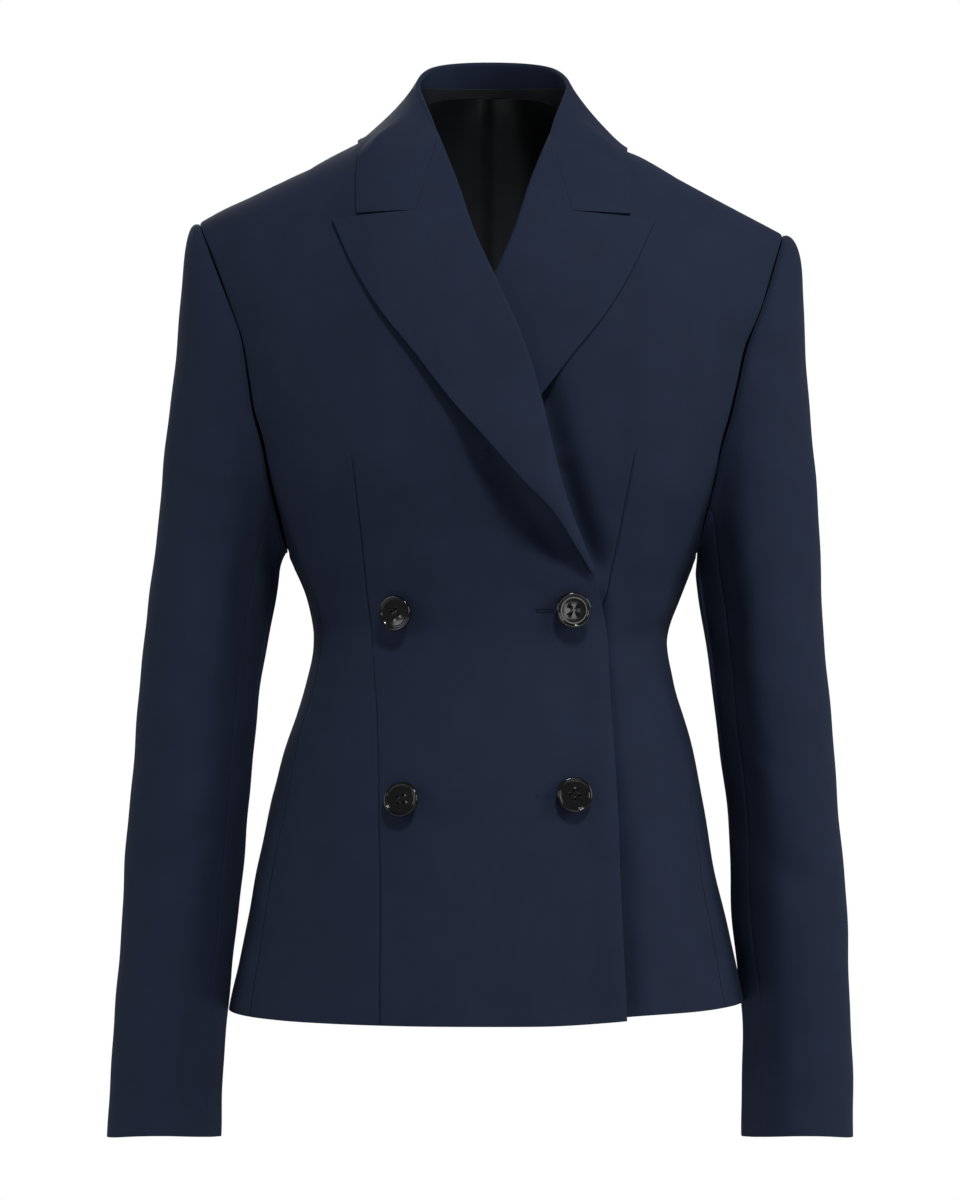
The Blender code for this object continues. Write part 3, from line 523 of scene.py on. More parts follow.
def woven(name, dark, light, rough, sheen, thread, depth, specular=0.18):
    """A woven cloth: two thread directions laid along the UV (metres), slubs, and slow colour change."""
    n = Nodes(name)
    uv = n.place("UV")
    crossing = n.add("ShaderNodeMath", operation="MULTIPLY")
    for k, way in enumerate("XY"):
        threads = n.add("ShaderNodeTexWave", bands_direction=way, Scale=1.0 / thread / 3.2, Distortion=1.4)
        threads.inputs["Detail Scale"].default_value = 2.5
        n.link(uv, threads.inputs["Vector"])
        n.link(threads.outputs["Fac"], crossing.inputs[k])
    grain = n.noise(Scale=1.0 / thread * 0.55, Detail=3.0, Roughness=0.65)
    slow = n.noise(Scale=38.0, Detail=4.0, Roughness=0.6)
    height = n.add("ShaderNodeMath", operation="MULTIPLY_ADD")
    height.inputs[1].default_value = 0.55
    n.link(crossing.outputs[0], height.inputs[0])
    n.link(grain, height.inputs[2])
    tone = n.add("ShaderNodeMath", operation="MULTIPLY_ADD")
    tone.inputs[1].default_value = 0.45
    n.link(height.outputs[0], tone.inputs[0])
    n.link(slow, tone.inputs[2])
    n.colour(tone.outputs[0], dark, light, 0.5)
    n.roughness(slow, rough - 0.07, rough + 0.07)
    n.bump(height.outputs[0], 0.5, depth)
    n.shader.inputs["Specular IOR Level"].default_value = specular
    n.shader.inputs["Sheen Weight"].default_value = sheen
    n.shader.inputs["Sheen Roughness"].default_value = 0.45
    n.shader.inputs["Sheen Tint"].default_value = (0.35, 0.42, 0.62, 1)
    return n.material


def satin(name):
    """Smooth lining with a fine diagonal twill."""
    n = Nodes(name)
    twill = n.add("ShaderNodeTexWave", bands_direction="DIAGONAL", Scale=900.0, Distortion=1.0)
    n.link(n.place("UV"), twill.inputs["Vector"])
    slow = n.noise(Scale=60.0, Detail=3.0)
    n.colour(slow, [c * 0.8 for c in SATIN], [c * 1.3 for c in SATIN])
    n.roughness(slow, 0.36, 0.46)
    n.bump(twill.outputs["Fac"], 0.2, 0.00005)
    n.shader.inputs["Specular IOR Level"].default_value = 0.35
    return n.material


def horn(name):
    """Polished black horn, faintly clouded."""
    n = Nodes(name)
    cloud = n.noise(Scale=260.0, Detail=4.0)
    n.colour(cloud, [c * 0.7 for c in HORN], [c * 1.5 for c in HORN])
    n.roughness(cloud, 0.09, 0.14)
    n.shader.inputs["Specular IOR Level"].default_value = 0.34
    return n.material


WOOL_CLOTH = woven("navy_wool", WOOL, WOOL_LIGHT, 0.8, 0.03, 0.00055, 0.00012, specular=0.07)
BUTTON_THREAD = woven("button_thread", THREAD, THREAD, 0.55, 0.1, 0.0003, 0.00008)
SATIN_CLOTH = satin("black_satin")
HORN_BUTTON = horn("black_horn")


# -------- making pieces
def linked(name, data):
    body = bpy.data.objects.new(name, data)
    bpy.context.scene.collection.objects.link(body)
    return body


def placed(name, mesh, *materials):
    """An object of this mesh, smoothly shaded."""
    for material in materials:
        mesh.materials.append(material)
    mesh.polygons.foreach_set("use_smooth", np.ones(len(mesh.polygons), bool))
    return linked(name, mesh)


def rounded(body, width, corner):
    """Rounds the edges where faces meet at more than this many degrees."""
    bevel = body.modifiers.new("Rounded edges", "BEVEL")
    bevel.width = width
    bevel.segments = 2
    bevel.limit_method = "ANGLE"
    bevel.angle_limit = np.radians(corner)


def drawn_in(points, gap):
    """The grid with its four edges drawn in by half a seam's gap."""
    points = points.copy()
    every = slice(None)
    for edge, inner in (((0,), (1,)), ((-1,), (-2,)), ((every, 0), (every, 1)), ((every, -1), (every, -2))):
        step = points[inner] - points[edge]
        length = np.maximum(np.linalg.norm(step, axis=-1, keepdims=True), 1e-9)
        points[edge] = points[edge] + step / length * np.minimum(gap, length * 0.4)
    return points


def cloth(name, points, outside=WOOL_CLOTH, inside=SATIN_CLOTH, thickness=SHELL, gap=GAP, centre=(0.0, 0.0)):
    """A piece of cloth: a grid of points facing away from an upright axis, with a wall and rounded edges."""
    name = "cloth_" + name
    points = drawn_in(points, gap)
    rows, columns = points.shape[:2]
    away = points[..., :2] - np.asarray(centre)
    out = np.sign((grid_normals(points)[..., :2] * away).sum())
    index = np.arange(rows * columns).reshape(rows, columns)
    quads = np.stack([index[:-1, :-1], index[:-1, 1:], index[1:, 1:], index[1:, :-1]], -1).reshape(-1, 4)
    if out < 0:
        quads = quads[:, ::-1]
    mesh = bpy.data.meshes.new(name)
    mesh.from_pydata(points.reshape(-1, 3).tolist(), [], quads.tolist())
    down, _, across, _ = edge_distances(points)
    uv = np.stack([across, down], -1).reshape(-1, 2)
    layer = mesh.uv_layers.new(name="UVMap")
    layer.data.foreach_set("uv", uv[quads.reshape(-1)].astype(np.float32).reshape(-1))
    body = placed(name, mesh, outside, inside)
    wall = body.modifiers.new("Wall", "SOLIDIFY")
    wall.thickness = thickness
    wall.offset = 0.0
    wall.use_even_offset = False
    wall.material_offset = 1
    wall.material_offset_rim = 0
    rounded(body, thickness * 0.30, 55)
    return body


def spaced(count, ease=0.0):
    """count+1 shares from 0 to 1; ease above 0 packs them towards both ends."""
    t = np.linspace(0, 1, count + 1)
    return t * (1 - ease) + ease * (1 - np.cos(np.pi * t)) / 2


def grid_between(curves, counts, shares):
    """(angle, level) grids running up the shares, with counts[k] the shares across from curve k to k+1."""
    stops = np.array([[curve(float(share)) for curve in curves] for share in shares], float)
    blocks = [stops[:, :1]]
    for k, shares_across in enumerate(counts):
        t = np.asarray(shares_across)[1:, None]
        blocks.append(stops[:, k : k + 1] * (1 - t) + stops[:, k + 1 : k + 2] * t)
    grid = np.concatenate(blocks, 1)
    return grid[..., 0], grid[..., 1]


# -------- fronts
def over_rise(at):
    """How far the lapped right front stands off the torso."""
    rise = OVER_WAIST + (OVER_CHEST - OVER_WAIST) * smooth(at[..., 2], -0.345, -0.285)
    low = 1 - smooth(at[..., 2], -0.095, -0.030)
    return rise * low * smooth(at[..., 0], -0.108, -0.066)


def over_front(angle, level):
    return off_torso(angle, level, over_rise(torso(angle, level)))


def under_front(angle, level):
    at = torso(angle, level)
    return off_torso(angle, level, -UNDER * smooth(-at[..., 0], -0.104, -0.084))


SURFACE = {-1: over_front, 1: under_front}


def neck_point(side, back=False):
    return float(angle_at(side * NECK_HALF, 2.0, back)), 2.0


def gorge_point(side):
    angle, level = on_torso(lapel_x(LAPEL[0][0], side), LAPEL[0][1], 2)
    return float(angle), float(level)


def back_middle(side, depth):
    """(angle, level) of the middle of the back where it is this far behind the shoulder line."""
    return 180.0 * side, float(on_torso(0.0001 * side, depth, 1, True)[1])


# Shares of the way up a front or back at which its edge reaches the break, the gorge and the underarm
BREAK_SHARE = 0.46
GORGE_START = 0.9
UNDERARM_SHARE = 0.5


def edge_curve(side):
    """The free edge of a front, up the edge table to the break, up the roll line, along the neckline."""
    table = FRONT_EDGE[side]
    edge = through(table, 1)
    roll = through(LAPEL, 0, key=1)
    gorge, neck = gorge_point(side), neck_point(side)
    top_height, top_x = table[-1]

    def read(share):
        if share < BREAK_SHARE:
            height = HEM + share / BREAK_SHARE * (top_height - HEM)
            return on_torso(float(edge(height)), height, 2)
        if share < GORGE_START:
            way = (share - BREAK_SHARE) / (GORGE_START - BREAK_SHARE)
            height = top_height + way * (LAPEL[0][1] - top_height)
            low = max(float(height), LAPEL[-1][1])
            x = lapel_x(float(roll(low)), side)
            if height < LAPEL[-1][1]:
                x += (top_x - x) * (low - height) / (low - top_height)
            return on_torso(x, height, 2)
        return between(gorge, neck, (share - GORGE_START) / (1 - GORGE_START))

    return read


def outer_curve(side, which, last_turn):
    """Up a seam of the side body to the underarm, then round the armhole to this turn."""
    foot, underarm = (side * which[0], 0.0), armhole(side, which[1])

    def read(share):
        if share < UNDERARM_SHARE:
            return between(foot, underarm, share / UNDERARM_SHARE)
        way = (share - UNDERARM_SHARE) / (1 - UNDERARM_SHARE)
        return armhole(side, which[1] + (last_turn - which[1]) * way)

    return read


def dart_curve(side):
    table = DART[side]
    distance = through(table, 1)

    def read(share):
        height = table[0][0] + share * (table[-1][0] - table[0][0])
        x = side * float(distance(height))
        if share > 0.999:
            return float(angle_at(x, 2.0)), 2.0
        return on_torso(x, height, 2)

    return read


FRONT_ROWS = 170
FRONT_COLUMNS = ((30, 0.065), (54, 0.15))  # outside and inside of the dart: columns and width
DART_FINE = (0.0003, 0.0006, 0.001, 0.0016, 0.0025, 0.004)  # close columns on each side of the dart


def finer_at_start(count, width):
    """Shares across a block this wide, closer together at its start."""
    fine = np.array(DART_FINE) / width
    coarse = spaced(count, 0.4)
    return np.concatenate([[0.0], fine, coarse[coarse > fine[-1] * 1.4]])


def make_front(name, side):
    """A front panel with its dart, the ditches of its seams, and its creases."""
    curves = (outer_curve(side, FRONT_SEAM, 0), dart_curve(side), edge_curve(side))
    shares = spaced(FRONT_ROWS)
    before, after = (finer_at_start(*block) for block in FRONT_COLUMNS)
    before = 1 - before[::-1]
    angle, level = grid_between(curves, (before, after), shares)
    points = SURFACE[side](angle, level)
    normals = torso_normal(angle, level)
    _, rows_to, outer, inner = edge_distances(points)
    dart_column = len(before) - 1
    dart = np.abs(outer - outer[:, dart_column : dart_column + 1])
    above_tip = points[..., 2] - DART_TIP
    move = ditch(dart, 0.0007, 0.0022) * (1 - smooth(above_tip, -0.015, 0))
    around_tip = smooth(above_tip, -0.05, 0) * (1 - smooth(above_tip, 0, 0.06))
    move -= ditch(dart, 0.010, DART_FULLNESS) * around_tip
    move += ditch(outer) + ditch(rows_to) * (np.abs(points[..., 0]) > 0.09)
    calm = smooth(inner, 0.0, 0.012)
    move += (crease_field(points, BODY_CREASES) + unevenness(points)) * (0.35 + 0.65 * calm)
    move += crease_field(points, FRONT_CREASES[side])
    points = points + normals * move[..., None]
    if side > 0:
        near = (1 - smooth(points[..., 2], HEM, HEM + 0.10)) * (1 - smooth(points[..., 0], 0.09, 0.15))
        points[..., 2] += UNDERLAP_SHORTER * near
    return cloth(name, points)


# -------- lapels and collar
LAPEL_ROWS = 110
LAPEL_COLUMNS = 42
ROLL_STEPS = 8


def make_lapel(name, side):
    """The facing turned out over the front: round the roll line and across to the outer edge."""
    surface = SURFACE[side]
    table = [(i / (len(LAPEL) - 1), *row) for i, row in enumerate(LAPEL)]
    share = spaced(LAPEL_ROWS)[:, None]
    across = np.linspace(0, 1, LAPEL_COLUMNS + 1)[None, :]
    roll_x, roll_z, edge_x, edge_z, lift_right, lift_left = (
        through(table, column)(share) for column in range(1, 7)
    )
    lift = lift_right if side < 0 else lift_left
    straight = between(LAPEL[0][:2], LAPEL[0][2:4], GORGE_SHARE)
    hat = np.minimum(across / GORGE_SHARE, (1 - across) / (1 - GORGE_SHARE)) * (1 - share) ** 3
    flat = between((roll_x, roll_z), (edge_x, edge_z), across)
    x, z = (at + (bent - before) * hat for at, bent, before in zip(flat, GORGE_CORNER, straight))
    rise = LAYER + lift * np.sin(np.pi / 2 * (0.10 + 0.90 * across) ** 0.7)
    angle, level = lying_at(side, surface, x, z, rise)
    base = surface(angle, level)
    normal = torso_normal(angle, level)
    points = base + normal * (rise + unevenness(base, 0.0002))[..., None]
    away = unit(points[:, 0] - points[:, 1])
    up = points[:, 0] - base[:, 0]
    turn = np.linspace(0, np.pi, ROLL_STEPS + 1)[:-1, None]
    rolled = base[:, :1] + up[:, None] * (1 - np.cos(turn)) / 2 + away[:, None] * np.sin(turn) * LAYER / 2
    return cloth(name, np.concatenate([rolled, points], 1), inside=WOOL_CLOTH, gap=FINE_GAP)


NECK_LINE = (0.0268, 0.105)  # height of the lining's upper edge, and its rise with depth
COLLAR_FALL = 30
COLLAR_STAND = 12
COLLAR_TURN = 8
COLLAR_CLEARANCE = 0.0002
FALL_BEND = 1.9  # how soon the fall of the collar comes down to rest


def clear_of(points, side, front):
    """Points moved out along the normal where they are less than a layer above the piece under them."""
    x, y, z = points[..., 0], points[..., 1], points[..., 2]
    ridge = torso(angle_at(x, 2.0, not front), np.full(x.shape, 2.0))[..., 2]
    angle, level = on_torso(x, z, 2) if front else on_torso(x, y, 1, True)
    base = (SURFACE[side] if front else torso)(angle, level)
    normal = torso_normal(angle, level)
    short = LAYER + COLLAR_CLEARANCE - ((points - base) * normal).sum(-1)
    beyond = z > ridge - 0.001 if front else y < 0.002
    short = np.where(beyond, 0, np.clip(short, 0, 3 * LAYER))
    return points + normal * short[..., None]


def collar_section(side, seam_at, fold, edge_at, corner=None):
    """One section of the collar: up the stand, over the fold and down the fall to the outer edge."""
    share = np.linspace(0, 1, COLLAR_FALL + 1)[:, None]
    surface = SURFACE[side] if abs(edge_at[0]) < 90 else torso
    if corner is None:
        seam_at, edge_at = np.array(seam_at, float), np.array(edge_at, float)
        path = seam_at + (edge_at - seam_at) * share
    else:
        stops = np.array(corner)
        x, z = (np.interp(share[:, 0], (0, COLLAR_CORNER, 1), stops[:, k]) for k in (0, 1))
        path = np.stack(lying_at(side, surface, x, z, LAYER + 0 * x), -1)
    base = surface(path[:, 0], path[:, 1])
    below = base + torso_normal(path[:, 0], path[:, 1]) * LAYER
    root = base[0]
    if fold is None:
        start = root
        away = unit(below[0] - below[1]) * LAYER / 2
        lift = below[0] - root
    else:
        lift = unit((below[-1] - below[0]) * (1, 1, 0)) * LAYER
        away = np.array([0, 0, LAYER / 2])
        start = np.array(fold) - lift / 2 - away
    rise = np.linspace(0, 1, COLLAR_STAND + 1)[:-1, None]
    stand = root + (start - root) * rise
    turn = np.pi * np.linspace(0, 1, COLLAR_TURN + 1)[:-1, None]
    over = start + lift * (1 - np.cos(turn)) / 2 + away * np.sin(turn)
    fall = below + (start + lift - below[0]) * (1 - share) ** FALL_BEND
    return np.concatenate([stand, over, fall])


def collar_half(side):
    """Sections of the collar from the gorge round the neck to the middle of the back."""
    gorge, neck = gorge_point(side), neck_point(side)
    sections = []
    for share, fold_x, fold_y, fold_z, edge_x, edge_z in COLLAR_FRONT:
        fold = None if fold_y is None else (lapel_x(fold_x, side), fold_y, fold_z)
        corner = None if share else (LAPEL[0][:2], GORGE_CORNER, (edge_x, edge_z))
        edge_at = on_torso(lapel_x(edge_x, side), edge_z, 2)
        sections.append(collar_section(side, between(gorge, neck, share), fold, edge_at, corner))
    back_neck, neck = back_middle(side, BACK_NECK_DEPTH), neck_point(side, True)
    for share, fold_x, fold_y, fold_z, edge_x, edge_y in COLLAR_BACK:
        angle = neck[0] + (back_neck[0] - neck[0]) * share
        level = neck[1] + (back_neck[1] - neck[1]) * np.sin(np.radians(90 * share))
        shift = 0 if side < 0 else 2 * MIDDLE * share
        x = lapel_x(edge_x, side) - shift
        if share == 0:
            edge_at = (float(angle_at(x, 2.0, True)), 2.0)
        elif share == 1:
            edge_at = back_middle(side, edge_y)
        else:
            edge_at = on_torso(x, edge_y, 1, True)
        fold = (lapel_x(fold_x, side) - shift, fold_y, fold_z)
        sections.append(collar_section(side, (angle, level), fold, edge_at))
    return sections


def finer(sections, count):
    """More sections, on a smooth curve through the given ones."""
    sections = np.array(sections)
    slopes = np.gradient(sections, axis=0)
    at = np.linspace(0, len(sections) - 1, count)
    i = np.clip(at.astype(int), 0, len(sections) - 2)
    t = (at - i)[:, None, None]
    return joined(t, sections[i], slopes[i], sections[i + 1], slopes[i + 1])


def collar_sections():
    """Sections from the right gorge round the neck to the left one, the fall clear of the cloth under it."""
    right, left = collar_half(-1), collar_half(1)
    middle = (right[-1] + left[-1]) / 2
    middle[:, 0] = 0.0
    sections = finer(right[:-1] + [middle] + left[-2::-1], 190)
    fall = COLLAR_STAND + COLLAR_TURN + 2
    part = sections[:, fall:]
    for side in (-1, 1):
        for front in (True, False):
            here = (np.sign(part[..., 0]) == side) & ((part[..., 1] < 0) == front)
            part[here] = clear_of(part[here], side, front)
    sections[:, fall:] = part
    return sections


def make_neck_facing(sections):
    """The lining's upper edge, carried up the inside of the collar stand to a level line round the neck."""
    root, top = sections[:, 0], sections[:, COLLAR_STAND]
    here = np.flatnonzero((root[:, 1] > -0.030) & (top[:, 2] - root[:, 2] > 0.004))
    root, top = root[here], top[here]
    line = NECK_LINE[0] + NECK_LINE[1] * root[:, 1]
    height = top[:, 2] - root[:, 2]
    reach = np.clip((line - root[:, 2]) / height, 0.10, 0.96)
    foot = -0.004 / height
    share = (foot + (reach - foot) * np.linspace(0, 1, 15)[:, None])[..., None]
    points = root + (top - root) * share
    points = points - unit(points * (1, 1, 0)) * FACING_DEPTH
    return cloth("neck_facing", points, outside=SATIN_CLOTH, thickness=LINING_SHELL)


# -------- sides, back and lining
SIDE_GRID = (90, 44)
BACK_GRID = (150, 40)  # rows, and columns in each of its two blocks
FULL_TURN = 359.9


def make_side(name, side):
    """The side body, between the front and back seams, up to the underarm."""
    across = np.linspace(0, 1, SIDE_GRID[1] + 1)
    feet, turns = (first + (last - first) * across for first, last in zip(FRONT_SEAM, BACK_SEAM))
    tops = np.array([armhole(side, turn) for turn in turns])
    share = spaced(SIDE_GRID[0])[:, None]
    angle = side * feet + (tops[:, 0] - side * feet) * share
    return panel(name, angle, tops[:, 1] * share, 0.35)


def panel(name, angle, level, seam_depth):
    """A body panel that lies on the torso, with ditches at its seams and armhole, and its creases."""
    points = torso(angle, level)
    _, rows_to, first, last = edge_distances(points)
    move = seam_depth * (ditch(first) + ditch(last)) + ditch(rows_to) + unevenness(points)
    move += crease_field(points, BODY_CREASES)
    points = points + torso_normal(angle, level) * move[..., None]
    return cloth(name, points)


def make_back(name, side):
    """Half of the back, its top row running from the shoulder point by the neck point to centre back."""
    outer = outer_curve(side, BACK_SEAM, FULL_TURN)
    centre, top = back_middle(side, BACK_NECK_DEPTH)
    neck, _ = neck_point(side, True)
    across = spaced(BACK_GRID[1], 0.4)
    bow = np.sin(np.radians(90 * across))
    grid = []
    for share in spaced(BACK_GRID[0]):
        seam_angle, seam_level = outer(float(share))
        pull = float(smooth(share, 0.45, 1.0))
        half_way = (seam_angle + centre) / 2
        middle_angle = half_way + (neck - half_way) * pull
        middle_level = seam_level + (top * share - seam_level) * 0.5 * (1 - pull)
        outer_block = between((seam_angle, seam_level), (middle_angle, middle_level), across)
        inner_angle = middle_angle + (centre - middle_angle) * across
        inner_level = middle_level + (top * share - middle_level) * (bow * pull + across * (1 - pull))
        inner_block = (inner_angle, inner_level)
        grid.append([np.concatenate([a, b[1:]]) for a, b in zip(outer_block, inner_block)])
    angle, level = np.array(grid).swapaxes(0, 1)
    return panel(name, angle, level, 1.0)


def make_lining():
    """The back lining just inside the back, with a soft pleat falling from the neck at its middle."""
    _, top = back_middle(1, BACK_NECK_DEPTH)
    share = spaced(90)[:, None]
    across = np.linspace(-1, 1, 121)[None, :]
    angle = 180 - LINING_REACH * across
    angle = np.where(angle > 180, angle - 360, angle) + 0 * share
    neck, _ = neck_point(1, True)
    along = np.clip(LINING_REACH * np.abs(across) / (180 - neck), 0, 1)
    head = np.minimum(2 - (2 - top) * np.cos(np.pi / 2 * along), 1.985)
    level = LINING_FOOT + (head - LINING_FOOT) * share
    base = torso(angle, level)
    x = base[..., 0]
    fold = smooth(x, -0.0008, 0.0010) * np.exp(-np.clip(x, 0, 1) / PLEAT_WIDTH)
    depth = LINING_DEPTH + PLEAT_DEPTH * fold * (0.55 + 0.45 * smooth(-level, -top, -top + 0.25))
    points = base - torso_normal(angle, level) * depth[..., None]
    return cloth("back_lining", points, outside=SATIN_CLOTH, thickness=LINING_SHELL)


# -------- sleeves
def sleeve_ring(side, height, turn):
    """A point of the sleeve below its head: turn 0 faces out, 90 to the front, 180 to the body."""
    columns = (1, 2) if side < 0 else (3, 4)
    outer, inner, front, back = (through(SLEEVE, c)(height) for c in (*columns, 5, 6))
    along, across = np.cos(np.radians(turn)), np.sin(np.radians(turn))
    flat = smooth(across, 0.0, 0.3) * smooth(-along, 0.0, 0.8)
    flat = flat * (1 - 0.4 * smooth(-np.asarray(height), 0.34, 0.50))
    power = 2 / (SLEEVE_POWER - SLEEVE_FLATTENED * flat)
    x = (outer + inner) / 2 + ((outer - inner) / 2 - 0.001) * np.sign(along) * np.abs(along) ** power
    y = (front + back) / 2 - ((back - front) / 2 - 0.001) * np.sign(across) * np.abs(across) ** power
    x, y, height = np.broadcast_arrays(side * x, y, height)
    return np.stack([x, y, height], -1)


SLEEVE_ROWS = 190
SLEEVE_START = 0.0009
SLEEVE_LEAN = 0.1065  # how far the upper arm leans in for each metre up


def sleeve_surface(side, turns, shares):
    """Points of a sleeve: share 0 is the cuff, 1 the armhole, with the cap above SLEEVE_CAP_FROM."""
    bottom, top = SLEEVE[-1][0], SLEEVE[0][0]
    lower = shares[shares <= SLEEVE_CAP_FROM]
    heights = (bottom + (top - bottom) * lower / SLEEVE_CAP_FROM)[:, None]
    legs = sleeve_ring(side, heights, turns[None, :])
    start = np.array([torso(*armhole(side, turn)) for turn in turns])
    end = sleeve_ring(side, np.full(turns.shape, top), turns)
    upness, ahead = np.cos(np.radians(turns)), np.sin(np.radians(turns))
    start[:, 0] += side * SLEEVE_START * (0.7 + 0.3 * upness)
    start[:, 1] -= SLEEVE_START * 0.5 * ahead
    # Handles of the curve down the head: straight out from the armhole, and straight up from the arm
    first = start.copy()
    first[:, 0] += side * (0.0075 + 0.0045 * upness)
    first[:, 1] -= 0.003 * ahead
    climb = (start[:, 2] - end[:, 2]) * (0.72 + 0.2 * upness)
    second = end.copy()
    second[:, 0] -= side * SLEEVE_LEAN * climb
    second[:, 2] += climb
    t = ((1 - shares[shares > SLEEVE_CAP_FROM]) / (1 - SLEEVE_CAP_FROM))[:, None, None] ** 1.35
    cap = start * (1 - t) ** 3 + 3 * first * t * (1 - t) ** 2 + 3 * second * t * t * (1 - t) + end * t**3
    points = np.concatenate([legs, cap])
    points[..., 2] += CUFF_LIFT * np.clip(ahead, 0, 1) ** 2 * (1 - smooth(shares, 0.0, 0.15))[:, None]
    if side > 0:
        window = smooth(1 - shares, 0.06, 0.26)[:, None] * (1 - smooth(-points[..., 2], 0.23, 0.34))
        points[..., 0] += LEFT_SLEEVE_FULLNESS * window * smooth(upness, 0.1, 0.9)
    return points


def sleeve_creases(side, turns, points):
    """Height to add at each point for soft creases, laid out by turn round the sleeve and by height."""
    total = np.zeros(points.shape[:2])
    for turn_a, z_a, turn_b, z_b, width, height in SLEEVE_CREASES[side]:
        across = ((turns[None, :] - turn_a + 180) % 360 - 180) * np.pi / 180 * SLEEVE_RADIUS
        run = ((turn_b - turn_a + 180) % 360 - 180) * np.pi / 180 * SLEEVE_RADIUS
        total += crease(across, points[..., 2] - z_a, run, z_b - z_a, width, height, SLEEVE_FADES)
    return total


def sleeve_part(name, side, first, last, columns):
    """The part of a sleeve between these two turns round it."""
    turns = np.linspace(first, last, columns + 1)
    shares = spaced(SLEEVE_ROWS)
    points = sleeve_surface(side, turns, shares)
    _, rows_to, start, end = edge_distances(points)
    move = ditch(rows_to, 0.0022, 0.0008) + 0.3 * (ditch(start) + ditch(end))
    move += unevenness(points, 0.0005) * smooth(rows_to, 0.0, 0.02) + sleeve_creases(side, turns, points)
    centre = points[0, :, :2].mean(0)
    normals = grid_normals(points)
    normals *= np.sign((normals[..., :2] * (points[..., :2] - centre)).sum())
    points = points + normals * move[..., None]
    return cloth(name, points, centre=centre)


def make_top_sleeve(name, side):
    return sleeve_part(name, side, SLEEVE_SEAMS[1] - 360, SLEEVE_SEAMS[0], 96)


def make_under_sleeve(name, side):
    return sleeve_part(name, side, *SLEEVE_SEAMS, 48)


# -------- buttons and buttonholes
BUTTON_SECTION = (
    (0.0, 0.00166),
    (0.003, 0.00169),
    (0.0058, 0.0018),
    (0.0078, 0.00198),
    (0.0086, 0.00206),
    (0.0091, 0.00198),
    (0.0094, 0.00215),
    (0.0097, 0.00262),
    (0.0102, 0.00296),
    (0.0107, 0.00306),
    (0.0112, 0.00296),
    (0.0116, 0.0025),
    (0.0118, 0.00185),
    (0.0116, 0.0008),
    (0.0106, 0.00025),
    (0.0092, 0.0),
    (0.0024, 0.0),
    (0.002, -0.001),
    (0.0024, -0.0021),
    (0.0, -0.0021),
)
SHANK = 0.0021
BUTTON_STAND = 0.0028
HOLE_FROM_CENTRE = 0.0028
HOLE_RADIUS = 0.001
STRAND_RADIUS = 0.00024
STRAND_APART = 0.00022
STRAND_STEPS = 12
BUTTONHOLE = (0.0295, 0.041)
SLIT_HALF = 0.00095
LIP_RADIUS = 0.00042
LIP_STEPS = 160


def ring(form, centre, across, up, sides=8):
    """Vertices round the ellipse with these half axes."""
    centre, across, up = (np.asarray(v, float) for v in (centre, across, up))
    turns = np.linspace(0, 2 * np.pi, sides, endpoint=False)
    return [form.verts.new(centre + np.cos(a) * across + np.sin(a) * up) for a in turns]


def skin(form, rings):
    """Faces from each ring to the next; a ring of one vertex is a point."""
    for upper, lower in zip(rings, rings[1:]):
        for k in range(max(len(upper), len(lower))):
            order = ((upper, k), (lower, k), (lower, k + 1), (upper, k + 1))
            form.faces.new(list(dict.fromkeys(row[at % len(row)] for row, at in order)))


def formed(name, form, material):
    """The object that a form describes."""
    bmesh.ops.recalc_face_normals(form, faces=form.faces)
    mesh = bpy.data.meshes.new(name)
    form.to_mesh(mesh)
    form.free()
    return placed(name, mesh, material)


def button_place(name):
    """Where a button sits: on its shank off the front, tilted and spun."""
    x, height, turn, tip, spin = BUTTONS[name]
    at = on_torso(x, height, 2)
    normal = Vector(torso_normal(*at))
    facing = normal.to_track_quat("Z", "Y").to_matrix().to_4x4()
    turned, tipped, spun = (
        Matrix.Rotation(np.radians(a), 4, axis) for a, axis in ((turn, "Y"), (tip, "X"), (spin, "Z"))
    )
    stand = Vector(over_front(*at)) + normal * BUTTON_STAND
    return Matrix.Translation(stand) @ facing @ turned @ tipped @ spun @ Matrix.Translation((0, 0, SHANK))


def make_button(name):
    """A dished disc on its shank, with a raised rim and four drilled holes."""
    form = bmesh.new()
    rings = []
    for radius, height in BUTTON_SECTION:
        sides = 72 if radius else 1
        rings.append(ring(form, (0, 0, height), (radius, 0, 0), (0, radius, 0), sides))
    skin(form, rings)
    body = formed(name + "_disc", form, HORN_BUTTON)
    rods = bmesh.new()
    for step in range(4):
        turn = np.radians(45 + 90 * step)
        at = Matrix.Translation((HOLE_FROM_CENTRE * np.cos(turn), HOLE_FROM_CENTRE * np.sin(turn), 0.001))
        radii = {"radius1": HOLE_RADIUS, "radius2": HOLE_RADIUS * 1.15}
        bmesh.ops.create_cone(rods, cap_ends=True, segments=24, depth=0.004, matrix=at, **radii)
    drill = formed("drill", rods, HORN_BUTTON)
    drilled = body.modifiers.new("Drilled", "BOOLEAN")
    drilled.solver = "EXACT"
    drilled.object = drill
    rounded(body, 0.00012, 50)
    graph = bpy.context.evaluated_depsgraph_get()
    finished = bpy.data.meshes.new_from_object(body.evaluated_get(graph))
    body.modifiers.clear()
    body.data = finished
    bpy.data.objects.remove(drill)
    finished.set_sharp_from_angle(angle=np.radians(40))
    body.matrix_world = button_place(name)
    return body


